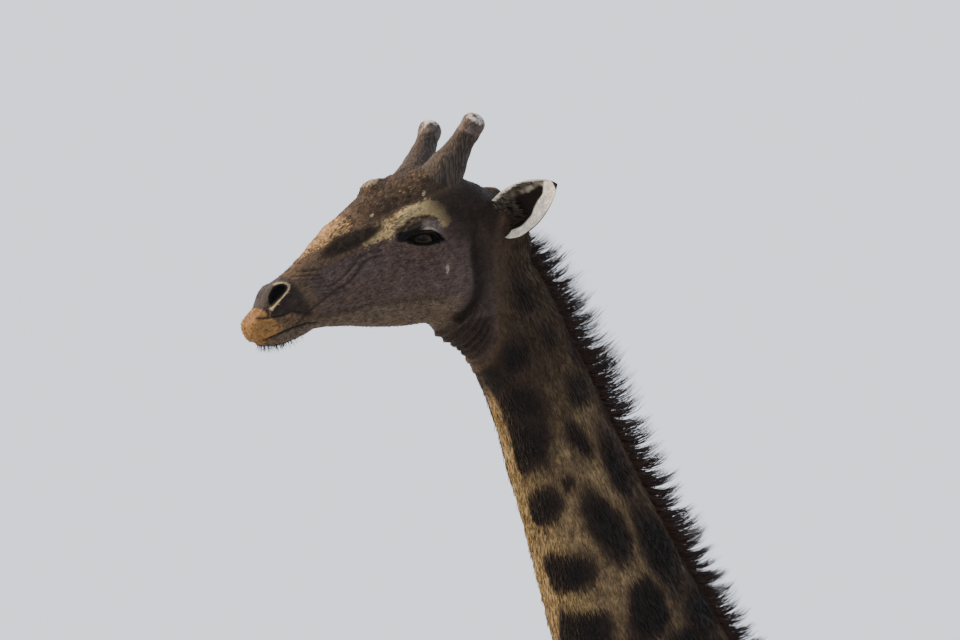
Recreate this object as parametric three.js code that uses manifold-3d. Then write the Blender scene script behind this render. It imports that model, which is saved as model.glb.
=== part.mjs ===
// An old bull giraffe, life size, standing with its head high and its feet a little astride.
// Millimetres, +Z up. The muzzle points along -X, the animal's left side is -Y, and the soles are at Z = 0.
import * as THREE from "three";
import { mergeVertices } from "three/addons/utils/BufferGeometryUtils.js";
import Module from "manifold-3d";

const wasm = await Module();
wasm.setup();

// ---------------------------------------------------------------- driving dimensions
const CUT = 0.5; // width of the thin cuts between neighbouring parts
const SEAT = 0.6; // gap left round a piece that is let into the flesh
const LEFT = -1;
const RIGHT = 1;

const WITHERS = { x: 150, z: 3150 }; // highest point of the back
const HEAD = { x: -1641, z: 4690, tilt: 24 }; // muzzle tip, and how far the head's axis rises backwards
const NECK = { x: -100, z: 2720, tilt: 113.5 }; // middle of the neck's root, and its axis from level
const LEG = { fore: 0, hind: 1310 }; // where the leg columns stand along X
const HOOF_HEIGHT = 132;
const STRIDE = { leftFore: 55, rightFore: -55, leftHind: -70, rightHind: 60 }; // how far each foot is set back
const STRIDE_HEIGHT = 1900; // the legs swing from here
const EYE = { t: 455, v: 20, y: 102, radius: 32 };
const OSSICONE = { x: -1190, y: 44, z: 4980, lean: 26.2, splay: 18.7, length: 258 };
const EAR = { x: -1026, y: 92, z: 4950, length: 200, width: 118, thickness: 9, cup: 42 };
const MANE = { atWithers: 60, atPoll: 78, halfThickness: 15 };
const SIDES = { trunk: 24, neck: 20, head: 20, leg: 14, tail: 8 };

// ---------------------------------------------------------------- sections along a line
const rad = THREE.MathUtils.degToRad;

/**
 * One flat section of a body. `top` and `bottom` are its edges in the plane of symmetry, `half` its half width,
 * `level` the share of its depth at which it is widest, `crown` and `keel` the roundness of its upper and lower
 * half (2 is an ellipse, less is sharper, more is squarer), and `side` how far its middle stands out sideways.
 */
const section = (at, top, bottom, half, level = 0.5, crown = 2, keel = 2, side = 0) => ({
  at, top, bottom, half, level, crown, keel, side,
});

/** The slopes of a smooth curve through the values, which never swings past them. */
function slopesOf(places, values) {
  const chords = places.slice(1).map((p, i) => (values[i + 1] - values[i]) / (p - places[i]));
  return places.map((_, i) => {
    if (i === 0) return chords[0];
    if (i === chords.length) return chords[i - 1];
    const [before, after] = [chords[i - 1], chords[i]];
    return before * after <= 0 ? 0 : (2 * before * after) / (before + after);
  });
}

/** A function that gives the section at any place along the line, smooth between the given ones. */
function smoothSections(sections) {
  const places = sections.map((s) => s.at);
  const keys = Object.keys(sections[0]);
  const slopes = Object.fromEntries(keys.map((k) => [k, slopesOf(places, sections.map((s) => s[k]))]));
  return (at) => {
    const next = places.findIndex((p) => p > at);
    const i = next < 0 ? places.length - 2 : Math.max(0, next - 1);
    const span = places[i + 1] - places[i];
    const f = THREE.MathUtils.clamp((at - places[i]) / span, 0, 1);
    const value = (k) => {
      const [a, b] = [sections[i][k], sections[i + 1][k]];
      const [sa, sb] = [slopes[k][i] * span, slopes[k][i + 1] * span];
      return (
        a * (1 + 2 * f) * (1 - f) ** 2 + sa * f * (1 - f) ** 2 + b * f * f * (3 - 2 * f) - sb * f * f * (1 - f)
      );
    };
    return Object.fromEntries(keys.map((k) => [k, value(k)]));
  };
}

/** A line in the plane of symmetry: the point at distance `t` along it and `v` across it, `y` sideways. */
function axis({ x, z, tilt }) {
  const [c, s] = [Math.cos(rad(tilt)), Math.sin(rad(tilt))];
  return (t, v, y) => new THREE.Vector3(x + t * c - v * s, y, z + t * s + v * c);
}

/** Closed geometry from rings of points that all have the same number of points. */
function skinOf(rings) {
  const sides = rings[0].length;
  const points = rings.flat();
  const faces = [];
  for (let r = 0; r + 1 < rings.length; r++)
    for (let j = 0; j < sides; j++) {
      const [a, b] = [r * sides + j, r * sides + ((j + 1) % sides)];
      faces.push(a, b, a + sides, b, b + sides, a + sides);
    }
  const middle = (ring) => ring.reduce((sum, p) => sum.add(p), new THREE.Vector3()).divideScalar(sides);
  const end = (rings.length - 1) * sides;
  const [first, last] = [points.push(middle(rings[0])) - 1, points.push(middle(rings.at(-1))) - 1];
  for (let j = 0; j < sides; j++) {
    const k = (j + 1) % sides;
    faces.push(first, k, j, last, end + j, end + k);
  }
  return new THREE.BufferGeometry().setFromPoints(points).setIndex(faces);
}

/** A body swept along a line through its sections, grown all round by `grow`. */
function sweep(line, sections, sides, steps, grow = 0) {
  const at = smoothSections(sections);
  const rings = [];
  for (let i = 0; i + 1 < sections.length; i++)
    for (let k = 0; k < steps + (i + 2 === sections.length); k++) {
      const place = THREE.MathUtils.lerp(sections[i].at, sections[i + 1].at, k / steps);
      const s = at(place);
      const end = k === steps ? grow : i + k === 0 ? -grow : 0;
      const middle = s.bottom + s.level * (s.top - s.bottom);
      const ring = Array.from({ length: sides }, (_, j) => {
        const [c, n] = [Math.cos((2 * Math.PI * j) / sides), Math.sin((2 * Math.PI * j) / sides)];
        const power = 2 / (n > 0 ? s.crown : s.keel);
        const across = Math.sign(c) * Math.abs(c) ** power * (s.half + grow);
        const up = Math.sign(n) * Math.abs(n) ** power * (n > 0 ? s.top - middle + grow : middle - s.bottom + grow);
        return line(place + end, middle + up, s.side + across);
      });
      rings.push(ring);
    }
  return skinOf(rings);
}

// ---------------------------------------------------------------- solids
/** The solid of a closed geometry, turned outside out if its faces point inwards. */
function solid(geometry) {
  const bare = geometry.index ? geometry.clone() : mergeVertices(geometry);
  for (const name of Object.keys(bare.attributes)) if (name !== "position") bare.deleteAttribute(name);
  const merged = mergeVertices(bare, 1e-3);
  const triVerts = new Uint32Array(merged.index.array);
  const build = () =>
    new wasm.Manifold(
      new wasm.Mesh({ numProp: 3, vertProperties: merged.attributes.position.array, triVerts }),
    );
  const made = build();
  if (made.volume() > 0) return made;
  for (let i = 0; i < triVerts.length; i += 3) [triVerts[i], triVerts[i + 1]] = [triVerts[i + 1], triVerts[i]];
  return build();
}

const join = (solids) => solids.reduce((whole, s) => whole.add(s));

/** An ellipsoid with the given half lengths, turned about Y by `tilt` degrees. */
function egg(centre, halves, tilt = 0, segments = 14) {
  const shape = new THREE.SphereGeometry(1, segments, Math.round(segments * 0.7));
  shape.scale(...halves).rotateY(-rad(tilt)).translate(centre.x, centre.y, centre.z);
  return solid(shape);
}

const FAR = 4000; // half the size of a block that stands for all the space on one side of a cut

/** All space on the far side of a plane through (x, z) at `tilt` degrees from level, moved along its normal. */
function beyond(x, z, tilt, shift = 0) {
  const block = new THREE.BoxGeometry(2 * FAR, 2 * FAR, 2 * FAR).translate(0, 0, FAR + shift);
  return solid(block.rotateY(-rad(tilt)).translate(x, 0, z));
}

/** Parts a body by a plane: [what lies beyond it, the rest], with a thin cut between. */
function partBy(body, x, z, tilt) {
  return [body.intersect(beyond(x, z, tilt, CUT / 2)), body.subtract(beyond(x, z, tilt, -CUT / 2))];
}

/** The space inside an outline of [x, z] points, reaching sideways from `near` to `far`. */
function slab(outline, near, far) {
  const shape = new THREE.Shape(outline.map(([x, z]) => new THREE.Vector2(x, z)));
  const block = new THREE.ExtrudeGeometry(shape, { depth: far - near, bevelEnabled: false });
  return solid(block.rotateX(Math.PI / 2).translate(0, far, 0));
}

// ---------------------------------------------------------------- trunk and neck
const level = axis({ x: 0, z: 0, tilt: 0 });
const headLine = axis(HEAD);
const neckLine = (t, v, y) => axis(NECK)(t, -v, y); // v towards the mane

const TRUNK = [
  section(-425, 2560, 2400, 60, 0.5, 2, 2), // breast
  section(-385, 2680, 2250, 150, 0.5, 2, 2),
  section(-270, 2800, 2080, 235, 0.5, 1.9, 2),
  section(-110, 2960, 1930, 285, 0.45, 1.8, 1.9),
  section(40, 3095, 1860, 312, 0.42, 1.7, 1.9), // shoulder
  section(WITHERS.x, WITHERS.z, 1830, 330, 0.4, 1.6, 2),
  section(330, 3105, 1800, 370, 0.4, 1.7, 2.1),
  section(600, 2985, 1780, 420, 0.4, 1.85, 2.2), // barrel
  section(850, 2880, 1810, 428, 0.42, 1.95, 2.2),
  section(1060, 2795, 1890, 385, 0.46, 2, 2.1), // flank
  section(1240, 2720, 1990, 330, 0.5, 2, 2),
  section(1390, 2630, 2080, 262, 0.52, 2, 2), // rump
  section(1475, 2530, 2170, 185, 0.52, 2, 2),
  section(1512, 2430, 2270, 80, 0.5, 2, 2),
];

// The crest of the neck, on which the mane stands, and the throat line run straight from withers to poll.
const NECK_SECTIONS = [
  section(-330, 470, -330, 200, 0.45, 1.7, 2),
  section(0, 455, -340, 215, 0.42, 1.6, 2),
  section(350, 405, -295, 195, 0.4, 1.6, 2),
  section(750, 342, -245, 160, 0.4, 1.6, 2),
  section(1150, 282, -200, 135, 0.4, 1.65, 2),
  section(1500, 228, -153, 118, 0.4, 1.7, 2),
  section(1770, 188, -118, 108, 0.42, 1.8, 2),
  section(2000, 167, -101, 102, 0.45, 1.9, 2),
  section(2140, 154, -115, 99, 0.5, 2, 2), // throat
  section(2225, 146, -165, 97, 0.5, 2, 2),
  section(2300, 128, -165, 92, 0.5, 2, 2), // nape
  section(2370, 90, -100, 70, 0.5, 2, 2),
];

// ---------------------------------------------------------------- head
const HEAD_SECTIONS = [
  section(4, 0, -24, 24, 0.5, 2, 2), // upper lip
  section(18, 11, -52, 43, 0.5, 2.3, 2.2),
  section(46, 26, -73, 55, 0.5, 2.5, 2.3),
  section(72, 43, -83, 59, 0.5, 2.6, 2.2),
  section(92, 60, -85, 60, 0.5, 2.6, 2.2), // nostrils
  section(120, 68, -85, 59, 0.5, 2.4, 2.1),
  section(165, 78, -80, 57, 0.5, 2.1, 2.1), // corner of the mouth
  section(220, 100, -94, 60, 0.5, 2, 2.1),
  section(290, 130, -125, 71, 0.5, 2.1, 2), // bridge of the nose
  section(360, 148, -152, 88, 0.54, 2.2, 2),
  section(430, 170, -174, 106, 0.58, 2.3, 1.9), // cheek
  section(500, 176, -184, 119, 0.6, 2.4, 1.8),
  section(570, 160, -176, 123, 0.64, 2.6, 1.8), // roots of the ossicones
  section(640, 114, -170, 118, 0.62, 2.5, 1.8),
  section(700, 74, -160, 104, 0.58, 2.2, 2), // poll
  section(745, 42, -140, 86, 0.5, 2, 2),
  section(772, 5, -110, 55, 0.5, 2, 2),
];

/** The bony swellings of the skull under the skin: brows, crown, poll, and the knob on the forehead. */
function skullBumps(grow) {
  const bump = (t, v, y, halves, turn, segments) =>
    egg(headLine(t, v, y), halves.map((h) => h + grow), HEAD.tilt + turn, segments);
  const paired = (side) => [
    bump(472, 44, side * 80, [90, 50, 55], 4, 10), // brow
    bump(628, 60, side * 60, [50, 56, 40], 0, 10), // crown behind the ossicone
    bump(708, 38, side * 36, [36, 29, 28], 0, 10), // poll
  ];
  return [bump(444, 164, 0, [40, 35, 27], 8, 10), ...paired(LEFT), ...paired(RIGHT)];
}

/** The two cups of the nostrils, to be cut away. */
function nostrils() {
  return [LEFT, RIGHT].map((side) => egg(headLine(94, 36, side * 54), [24, 12, 12], HEAD.tilt + 30, 8));
}

/** The space of the lower jaw, below the mouth line, moved down by `drop`. */
function jawSpace(drop) {
  const outline = [[-60, -58], [160, -58], [250, -74], [340, -98], [466, -118], [492, -420], [-60, -420]];
  const points = outline.map(([t, v]) => headLine(t, v - drop, 0));
  return slab(points.map((p) => [p.x, p.z]), -300, 300);
}

// ---------------------------------------------------------------- legs and tail
// A leg's line runs up from the floor, and `side` is how far its middle stands from the plane of symmetry.
const legSection = (z, front, back, half, side) => section(z, front, back, half, 0.5, 2, 2, side);

const FORE_LEG = [
  legSection(95, 96, -66, 74, 168), // coronet
  legSection(150, 84, -58, 64, 168),
  legSection(205, 62, -66, 56, 168), // pastern
  legSection(275, 60, -82, 61, 169), // fetlock
  legSection(350, 50, -62, 49, 169),
  legSection(560, 48, -52, 44, 170), // cannon
  legSection(800, 56, -56, 49, 172),
  legSection(900, 78, -66, 63, 174),
  legSection(985, 88, -70, 71, 175), // knee
  legSection(1080, 78, -62, 63, 176),
  legSection(1250, 80, -64, 61, 178),
  legSection(1500, 100, -92, 76, 182), // forearm
  legSection(1720, 126, -140, 96, 187),
  legSection(1880, 160, -190, 110, 192), // elbow
  legSection(2100, 240, -205, 116, 195),
  legSection(2350, 320, -190, 106, 197), // point of the shoulder
  legSection(2620, 225, -230, 102, 190),
  legSection(2850, 60, -260, 82, 136), // blade
  legSection(2970, -60, -220, 40, 95),
];

const HIND_LEG = [
  legSection(95, 92, -66, 70, 160), // coronet
  legSection(150, 76, -62, 61, 160),
  legSection(205, 54, -70, 54, 160), // pastern
  legSection(275, 46, -92, 60, 161), // fetlock
  legSection(350, 34, -78, 49, 161),
  legSection(560, 24, -82, 43, 163), // cannon
  legSection(800, 18, -104, 48, 165),
  legSection(930, 22, -138, 58, 167),
  legSection(1030, 40, -158, 62, 168), // hock
  legSection(1110, 66, -148, 57, 170),
  legSection(1240, 104, -108, 56, 174),
  legSection(1430, 176, -84, 78, 182), // gaskin
  legSection(1620, 262, -96, 106, 190),
  legSection(1790, 332, -124, 126, 196), // stifle
  legSection(1970, 350, -164, 136, 192),
  legSection(2170, 322, -184, 136, 184), // thigh
  legSection(2380, 240, -150, 112, 165),
  legSection(2520, 120, -80, 60, 130),
];

const fore = { x: LEG.fore, sections: FORE_LEG, foot: 168, reach: 1 };
const hind = { x: LEG.hind, sections: HIND_LEG, foot: 160, reach: 0.93 };
const LEGS = [
  { ...fore, name: "left_fore", side: LEFT, stride: STRIDE.leftFore },
  { ...fore, name: "right_fore", side: RIGHT, stride: STRIDE.rightFore },
  { ...hind, name: "left_hind", side: LEFT, stride: STRIDE.leftHind },
  { ...hind, name: "right_hind", side: RIGHT, stride: STRIDE.rightHind },
];

/** How far back a point of a leg stands at a height: all of the stride at the floor, none at the body. */
function swing(stride, z) {
  return stride * (1 - THREE.MathUtils.smoothstep(z, 0, STRIDE_HEIGHT));
}

/** The column of one leg, from the coronet up into the body. */
function legColumn(leg, grow) {
  const line = (z, v, y) => new THREE.Vector3(leg.x + swing(leg.stride, z) - v, y, z);
  const sections = leg.sections.map((s) => ({ ...s, side: leg.side * s.side }));
  return solid(sweep(line, sections, SIDES.leg, 1, grow));
}

const HOOF = { toe: 172, heel: -112, half: 53, spread: 57 };

/** One claw of a cloven hoof: flat below, with a steep toe and a rounded outer wall. */
function claw(leg, inward) {
  const line = (z, v, y) => new THREE.Vector3(leg.x + swing(leg.stride, 0) - v, y, z);
  const middle = leg.side * (leg.foot + (inward ? -1 : 1) * HOOF.spread);
  const wall = (z, toe, heel, half) =>
    section(z, toe * leg.reach, heel * leg.reach, half * leg.reach, 0.42, 2, 2.6, middle);
  return solid(
    sweep(
      line,
      [
        wall(0, HOOF.toe, HOOF.heel, HOOF.half),
        wall(14, HOOF.toe + 4, HOOF.heel - 2, HOOF.half + 2),
        wall(80, 136, -100, 47),
        wall(HOOF_HEIGHT, 100, -74, 38),
      ],
      12,
      1,
    ),
  );
}

const TAIL_LINE = (z, v, y) => new THREE.Vector3(1512 - v, y, z);
const TAIL = [
  section(1540, -38, -62, 12),
  section(1750, -30, -60, 15),
  section(2050, -20, -60, 20),
  section(2280, 4, -56, 27),
  section(2440, 40, -36, 36),
  section(2540, 70, -8, 40),
  section(2570, 70, 20, 26),
];
const TAIL_TUFT = [
  section(860, -34, -52, 8),
  section(940, -16, -76, 27),
  section(1100, 0, -92, 44),
  section(1320, -4, -92, 45),
  section(1500, -20, -78, 30),
  section(1620, -28, -68, 21),
];

// ---------------------------------------------------------------- the whole body, grown by a little if asked
function flesh(grow = 0) {
  return join([
    solid(sweep(level, TRUNK, SIDES.trunk, 1, grow)),
    solid(sweep(neckLine, NECK_SECTIONS, SIDES.neck, 1, grow)),
    solid(sweep(headLine, HEAD_SECTIONS, SIDES.head, 1, grow)),
    ...skullBumps(grow),
    ...LEGS.map((leg) => legColumn(leg, grow)),
  ]);
}

// ---------------------------------------------------------------- pieces let into the body
/** An ossicone: a horn under skin that leans back and out from a broad root to a bare rounded knob. */
function ossicone(side) {
  const profile = [
    [0, 0], [70, 0], [66, 36], [57, 75], [49, 100], [41, 130], [34, 156], [28, 188], [28, 208], [29.5, 223], [29.5, 237],
    [26, 248], [16, 255.5], [0, OSSICONE.length],
  ].map(([r, h]) => new THREE.Vector2(r, h));
  const shape = new THREE.LatheGeometry(profile, 12).rotateX(Math.PI / 2);
  shape.rotateX(-side * rad(OSSICONE.splay)).rotateY(rad(OSSICONE.lean));
  return solid(shape.translate(OSSICONE.x, side * OSSICONE.y, OSSICONE.z));
}

/** The frame of an ear: its root, and directions along it, across its opening and out of its back. */
function earFrame(side) {
  const along = new THREE.Vector3(0.42, side * 0.82, 0.4).normalize();
  const opening = new THREE.Vector3(-0.72, side * 0.55, -0.1);
  const out = opening.addScaledVector(along, -opening.dot(along)).normalize();
  const across = new THREE.Vector3().crossVectors(out, along).multiplyScalar(-side);
  return { root: new THREE.Vector3(EAR.x, side * EAR.y, EAR.z), along, out, across };
}

/** An ear: a cupped leaf that is broadest below its middle. */
function ear(side) {
  const { root, along, out, across } = earFrame(side);
  const [lengths, widths] = [9, 6];
  const rings = [];
  for (let i = 0; i <= lengths; i++) {
    const f = i / lengths;
    const swell = Math.sin(Math.PI * Math.min(1, 0.12 + 0.94 * f ** 0.85)) ** 0.8;
    const half = (EAR.width / 2) * (0.34 + 0.66 * swell) * (i === lengths ? 0.5 : 1);
    const depth = EAR.cup * Math.sin(Math.PI * (0.35 + 0.6 * f)) * (1 - 0.55 * f);
    const sheet = (w, lift) =>
      root
        .clone()
        .addScaledVector(along, f * EAR.length)
        .addScaledVector(across, w * half - 12 * Math.sin(Math.PI * f))
        .addScaledVector(out, depth * (w * w - 1) + lift);
    const ring = [];
    for (let k = 0; k <= widths; k++) ring.push(sheet(-1 + (2 * k) / widths, 0));
    for (let k = widths - 1; k > 0; k--) ring.push(sheet(-1 + (2 * k) / widths, -EAR.thickness * (1 - 0.5 * f)));
    rings.push(ring);
  }
  return solid(skinOf(rings));
}

/** The mane: a thin upright crest along the neck, from poll to withers. */
function mane() {
  const crest = smoothSections(NECK_SECTIONS);
  const places = [150, 300, 600, 900, 1200, 1500, 1750, 1950, 2120, 2240, 2300, 2345];
  const sections = places.map((at, i) => {
    const height = THREE.MathUtils.mapLinear(at, places[0], places.at(-1), MANE.atWithers, MANE.atPoll);
    const fromEnd = Math.min(i, places.length - 1 - i);
    const rise = height * [0.3, 0.75][fromEnd] || height;
    const top = crest(at).top;
    return section(at, top + rise, top - 45, MANE.halfThickness, 0.3, 1.25, 2);
  });
  return solid(sweep(neckLine, sections, 10, 1));
}

const eyeball = (side, radius) => egg(headLine(EYE.t, EYE.v, side * EYE.y), [radius, radius, radius], 0, 12);

// ---------------------------------------------------------------- materials
const paint = (color, roughness) => new THREE.MeshStandardMaterial({ color, roughness, metalness: 0 });
const MATERIAL = {
  coat: paint(0x6b5238, 0.85),
  face: paint(0x5b5048, 0.8),
  muzzle: paint(0x9a7040, 0.8),
  mane: paint(0x3a2a20, 0.9),
  ossicone: paint(0x3f372f, 0.75),
  ear: paint(0x8d8272, 0.85),
  eye: paint(0x14100e, 0.1),
  hoof: paint(0x2e2a27, 0.5),
  tuft: paint(0x1d1815, 0.9),
};

// ---------------------------------------------------------------- assembly
const giraffe = new THREE.Group();
giraffe.name = "giraffe";

/** Adds a solid to the animal as a named mesh. */
function add(name, body, material) {
  const made = body.getMesh();
  const points = new Float32Array(made.numVert * 3);
  for (let i = 0; i < made.numVert; i++)
    points.set(made.vertProperties.subarray(i * made.numProp, i * made.numProp + 3), i * 3);
  const geometry = new THREE.BufferGeometry()
    .setAttribute("position", new THREE.BufferAttribute(points, 3))
    .setIndex(new THREE.BufferAttribute(new Uint32Array(made.triVerts), 1));
  geometry.computeVertexNormals();
  const mesh = new THREE.Mesh(geometry, material);
  mesh.name = name;
  giraffe.add(mesh);
}

/** The largest single body of a solid, without the crumbs that a cut can leave. */
const mainBody = (body) => body.decompose().reduce((best, b) => (b.volume() > best.volume() ? b : best));

const grown = flesh(SEAT);
const tail = solid(sweep(TAIL_LINE, TAIL, SIDES.tail, 1));
const grownTail = solid(sweep(TAIL_LINE, TAIL, SIDES.tail, 1, SEAT));

let body = flesh().subtract(join([LEFT, RIGHT].map((side) => eyeball(side, EYE.radius + SEAT))));
body = body.subtract(join(nostrils()));

// Head and neck part behind the jaw, neck and trunk from the breast to the withers.
const [headAndJaw, belowHead] = partBy(body, -1020, 4790, 52);
const [neck, belowNeck] = partBy(belowHead, -160, 2860, 42);
add("head", mainBody(headAndJaw.subtract(jawSpace(-CUT / 2))), MATERIAL.face);
add("lower_jaw", mainBody(headAndJaw.intersect(jawSpace(CUT / 2))), MATERIAL.muzzle);
add("neck", mainBody(neck), MATERIAL.coat);

// The legs part from the trunk at the elbow and the stifle, and again at the knee or hock.
let trunk = belowNeck;
for (const leg of LEGS) {
  const isFore = leg.x === LEG.fore;
  const joint = isFore ? 985 : 1030;
  const edge = isFore ? [[-400, 1735], [420, 1735]] : [[820, 1700], [935, 1735], [1490, 2290], [1700, 2290]];
  const legSpace = (drop) => {
    const outline = [...edge.map(([x, z]) => [x, z - drop]), [edge.at(-1)[0], -200], [edge[0][0], -200]];
    const reach = [leg.side * (CUT / 2 + drop), leg.side * 700].sort((a, b) => a - b);
    return slab(outline, ...reach);
  };
  const column = trunk.intersect(legSpace(CUT / 2));
  trunk = trunk.subtract(legSpace(-CUT / 2));
  const [upper, lower] = partBy(mainBody(column), leg.x, joint, 0);
  const [cannon] = partBy(lower, leg.x, HOOF_HEIGHT - 6, 0);
  add(`${leg.name}_${isFore ? "forearm" : "gaskin"}`, mainBody(upper), MATERIAL.coat);
  add(`${leg.name}_cannon`, mainBody(cannon), MATERIAL.coat);
  const claws = [claw(leg, true), claw(leg, false)];
  const foot = (inward) => claws[inward ? 0 : 1].subtract(beyond(leg.x, HOOF_HEIGHT - 6, 0, -CUT / 2));
  add(`${leg.name}_inner_hoof`, foot(true), MATERIAL.hoof);
  add(`${leg.name}_outer_hoof`, foot(false), MATERIAL.hoof);
}
add("trunk", mainBody(trunk), MATERIAL.coat);
add("tail", mainBody(tail.subtract(grown)), MATERIAL.coat);
add("tail_tuft", solid(sweep(TAIL_LINE, TAIL_TUFT, SIDES.tail, 1)).subtract(grownTail), MATERIAL.tuft);
add("mane", mainBody(mane().subtract(grown)), MATERIAL.mane);

for (const [side, name] of [[LEFT, "left"], [RIGHT, "right"]]) {
  add(`${name}_eye`, eyeball(side, EYE.radius), MATERIAL.eye);
  add(`${name}_ear`, mainBody(ear(side).subtract(grown)), MATERIAL.ear);
  add(`${name}_ossicone`, mainBody(ossicone(side).subtract(grown)), MATERIAL.ossicone);
}

export default giraffe;
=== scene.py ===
"""A life-size model of an old bull giraffe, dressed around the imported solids.

Millimetres are used for every size and for the arrays of points; a mesh is turned to metres as it is made.
The muzzle points along -X, the animal's left side is -Y and the soles are at Z = 0.
"""

import logging
import math
from dataclasses import dataclass, field
from enum import Enum
from functools import cached_property, partial
from typing import Any, Callable, Optional, Sequence

import bpy
import numpy as np
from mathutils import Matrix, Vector


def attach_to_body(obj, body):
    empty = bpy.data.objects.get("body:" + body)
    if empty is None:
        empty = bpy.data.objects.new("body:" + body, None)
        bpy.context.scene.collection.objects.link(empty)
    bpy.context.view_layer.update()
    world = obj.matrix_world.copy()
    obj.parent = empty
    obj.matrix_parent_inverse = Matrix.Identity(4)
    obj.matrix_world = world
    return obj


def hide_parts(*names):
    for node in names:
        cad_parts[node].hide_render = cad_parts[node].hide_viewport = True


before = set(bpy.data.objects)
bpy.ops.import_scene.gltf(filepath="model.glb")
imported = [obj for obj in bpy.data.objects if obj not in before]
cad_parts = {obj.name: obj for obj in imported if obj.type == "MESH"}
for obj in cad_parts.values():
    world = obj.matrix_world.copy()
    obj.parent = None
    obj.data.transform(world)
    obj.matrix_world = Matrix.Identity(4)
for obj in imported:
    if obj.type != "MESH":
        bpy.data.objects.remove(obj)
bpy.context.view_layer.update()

Array = np.ndarray
Material = bpy.types.Material
Tree = bpy.types.NodeTree
Piece = bpy.types.Object
log = logging.getLogger("giraffe")

MM = 0.001
BODY = "root"
SEED = 20261
LEFT, RIGHT = -1.0, 1.0
SIDES = ((LEFT, "left"), (RIGHT, "right"))
POINTS_AT_ONCE = 20000  # more of them together would need too much memory
BLOCKS_AT_ONCE = 400
PATCH_POOL = 9000  # places that the centres of patches are chosen from


# ---- small mathematics
def ramp(low: float, high: float, x: Array) -> Array:
    """Rises smoothly from 0 at `low` to 1 at `high`, which may be the lower of the two.

    Args:
        low: Where the rise starts.
        high: Where the rise ends.
        x: Values to map.

    Returns:
        Numbers from 0 to 1.
    """
    f = np.clip((x - low) / (high - low), 0.0, 1.0)
    return f * f * (3.0 - 2.0 * f)


def smooth_min(a: Array, b: Array, blend: float) -> Array:
    """The lower of two distances, with a fillet of about `blend` where they meet.

    Args:
        a: First distances.
        b: Second distances.
        blend: Reach of the fillet.

    Returns:
        The joined distances.
    """
    h = np.clip(1.0 - np.abs(a - b) / blend, 0.0, None)
    return np.minimum(a, b) - h * h * blend * 0.25


def unit(v: Array) -> Array:
    """The vectors brought to length one."""
    return v / np.maximum(np.linalg.norm(v, axis=-1, keepdims=True), 1e-9)


def spin(a: Array, b: Array, degrees: float) -> tuple[Array, Array]:
    """Flat coordinates, seen from axes turned by some degrees.

    Args:
        a: First coordinates.
        b: Second coordinates.
        degrees: How far the axes are turned.

    Returns:
        The coordinates along the turned axes.
    """
    c, s = math.cos(math.radians(degrees)), math.sin(math.radians(degrees))
    return a * c + b * s, b * c - a * s


def lattice(cell: Array, seed: int) -> Array:
    """A repeatable random number from 0 to 1 for each whole-numbered cell.

    Args:
        cell: Whole numbers, in rows of three.
        seed: Chooses another set of numbers.

    Returns:
        One number for each row.
    """
    c = cell.astype(np.int64)
    h = (c[:, 0] * 73856093) ^ (c[:, 1] * 19349663) ^ (c[:, 2] * 83492791) ^ (seed * 2654435761)
    h = (h ^ (h >> 13)) * 1274126177 & 0xFFFFFFFF
    return ((h ^ (h >> 16)) & 0xFFFFFF) / float(0xFFFFFF)


def noise(p: Array, scale: float, seed: int = 0) -> Array:
    """Smooth noise from -1 to 1 whose lumps are about `scale` across.

    Args:
        p: Points.
        scale: Size of a lump in millimetres, or one for each axis.
        seed: Chooses another noise.

    Returns:
        One number for each point.
    """
    q = p / scale
    cell = np.floor(q)
    f = q - cell
    f = f * f * (3.0 - 2.0 * f)
    total = np.zeros(len(p))
    for i in (0, 1):
        for j in (0, 1):
            for k in (0, 1):
                share = (f[:, 0] if i else 1 - f[:, 0]) * (f[:, 1] if j else 1 - f[:, 1])
                share = share * (f[:, 2] if k else 1 - f[:, 2])
                total += share * lattice(cell + np.array([i, j, k]), seed)
    return 2.0 * total - 1.0


def noise_vectors(p: Array, scale: float, seed: int = 0) -> Array:
    """Three noises side by side, as a vector for each point."""
    return np.stack([noise(p, scale, seed + 17 * k) for k in range(3)], axis=1)


def polyline_distance(t: Array, v: Array, points: Sequence[tuple[float, float]]) -> tuple[Array, Array]:
    """How far flat points lie from a line of straight pieces, and how far along it the nearest place is.

    Args:
        t: First coordinate of each point.
        v: Second coordinate of each point.
        points: Corners of the line.

    Returns:
        The distances, and the shares of the line's length from 0 to 1.
    """
    corners = np.array(points, float)
    pieces = corners[1:] - corners[:-1]
    lengths = np.hypot(pieces[:, 0], pieces[:, 1])
    starts = np.concatenate([[0.0], np.cumsum(lengths)[:-1]])
    best = np.full(len(t), 1e9)
    along = np.zeros(len(t))
    for (a, b), piece, length, start in zip(corners[:-1], pieces, lengths, starts):
        f = np.clip(((t - a) * piece[0] + (v - b) * piece[1]) / length**2, 0.0, 1.0)
        d = np.hypot(t - a - f * piece[0], v - b - f * piece[1])
        near = d < best
        best = np.where(near, d, best)
        along = np.where(near, (start + f * length) / lengths.sum(), along)
    return best, along


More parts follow.
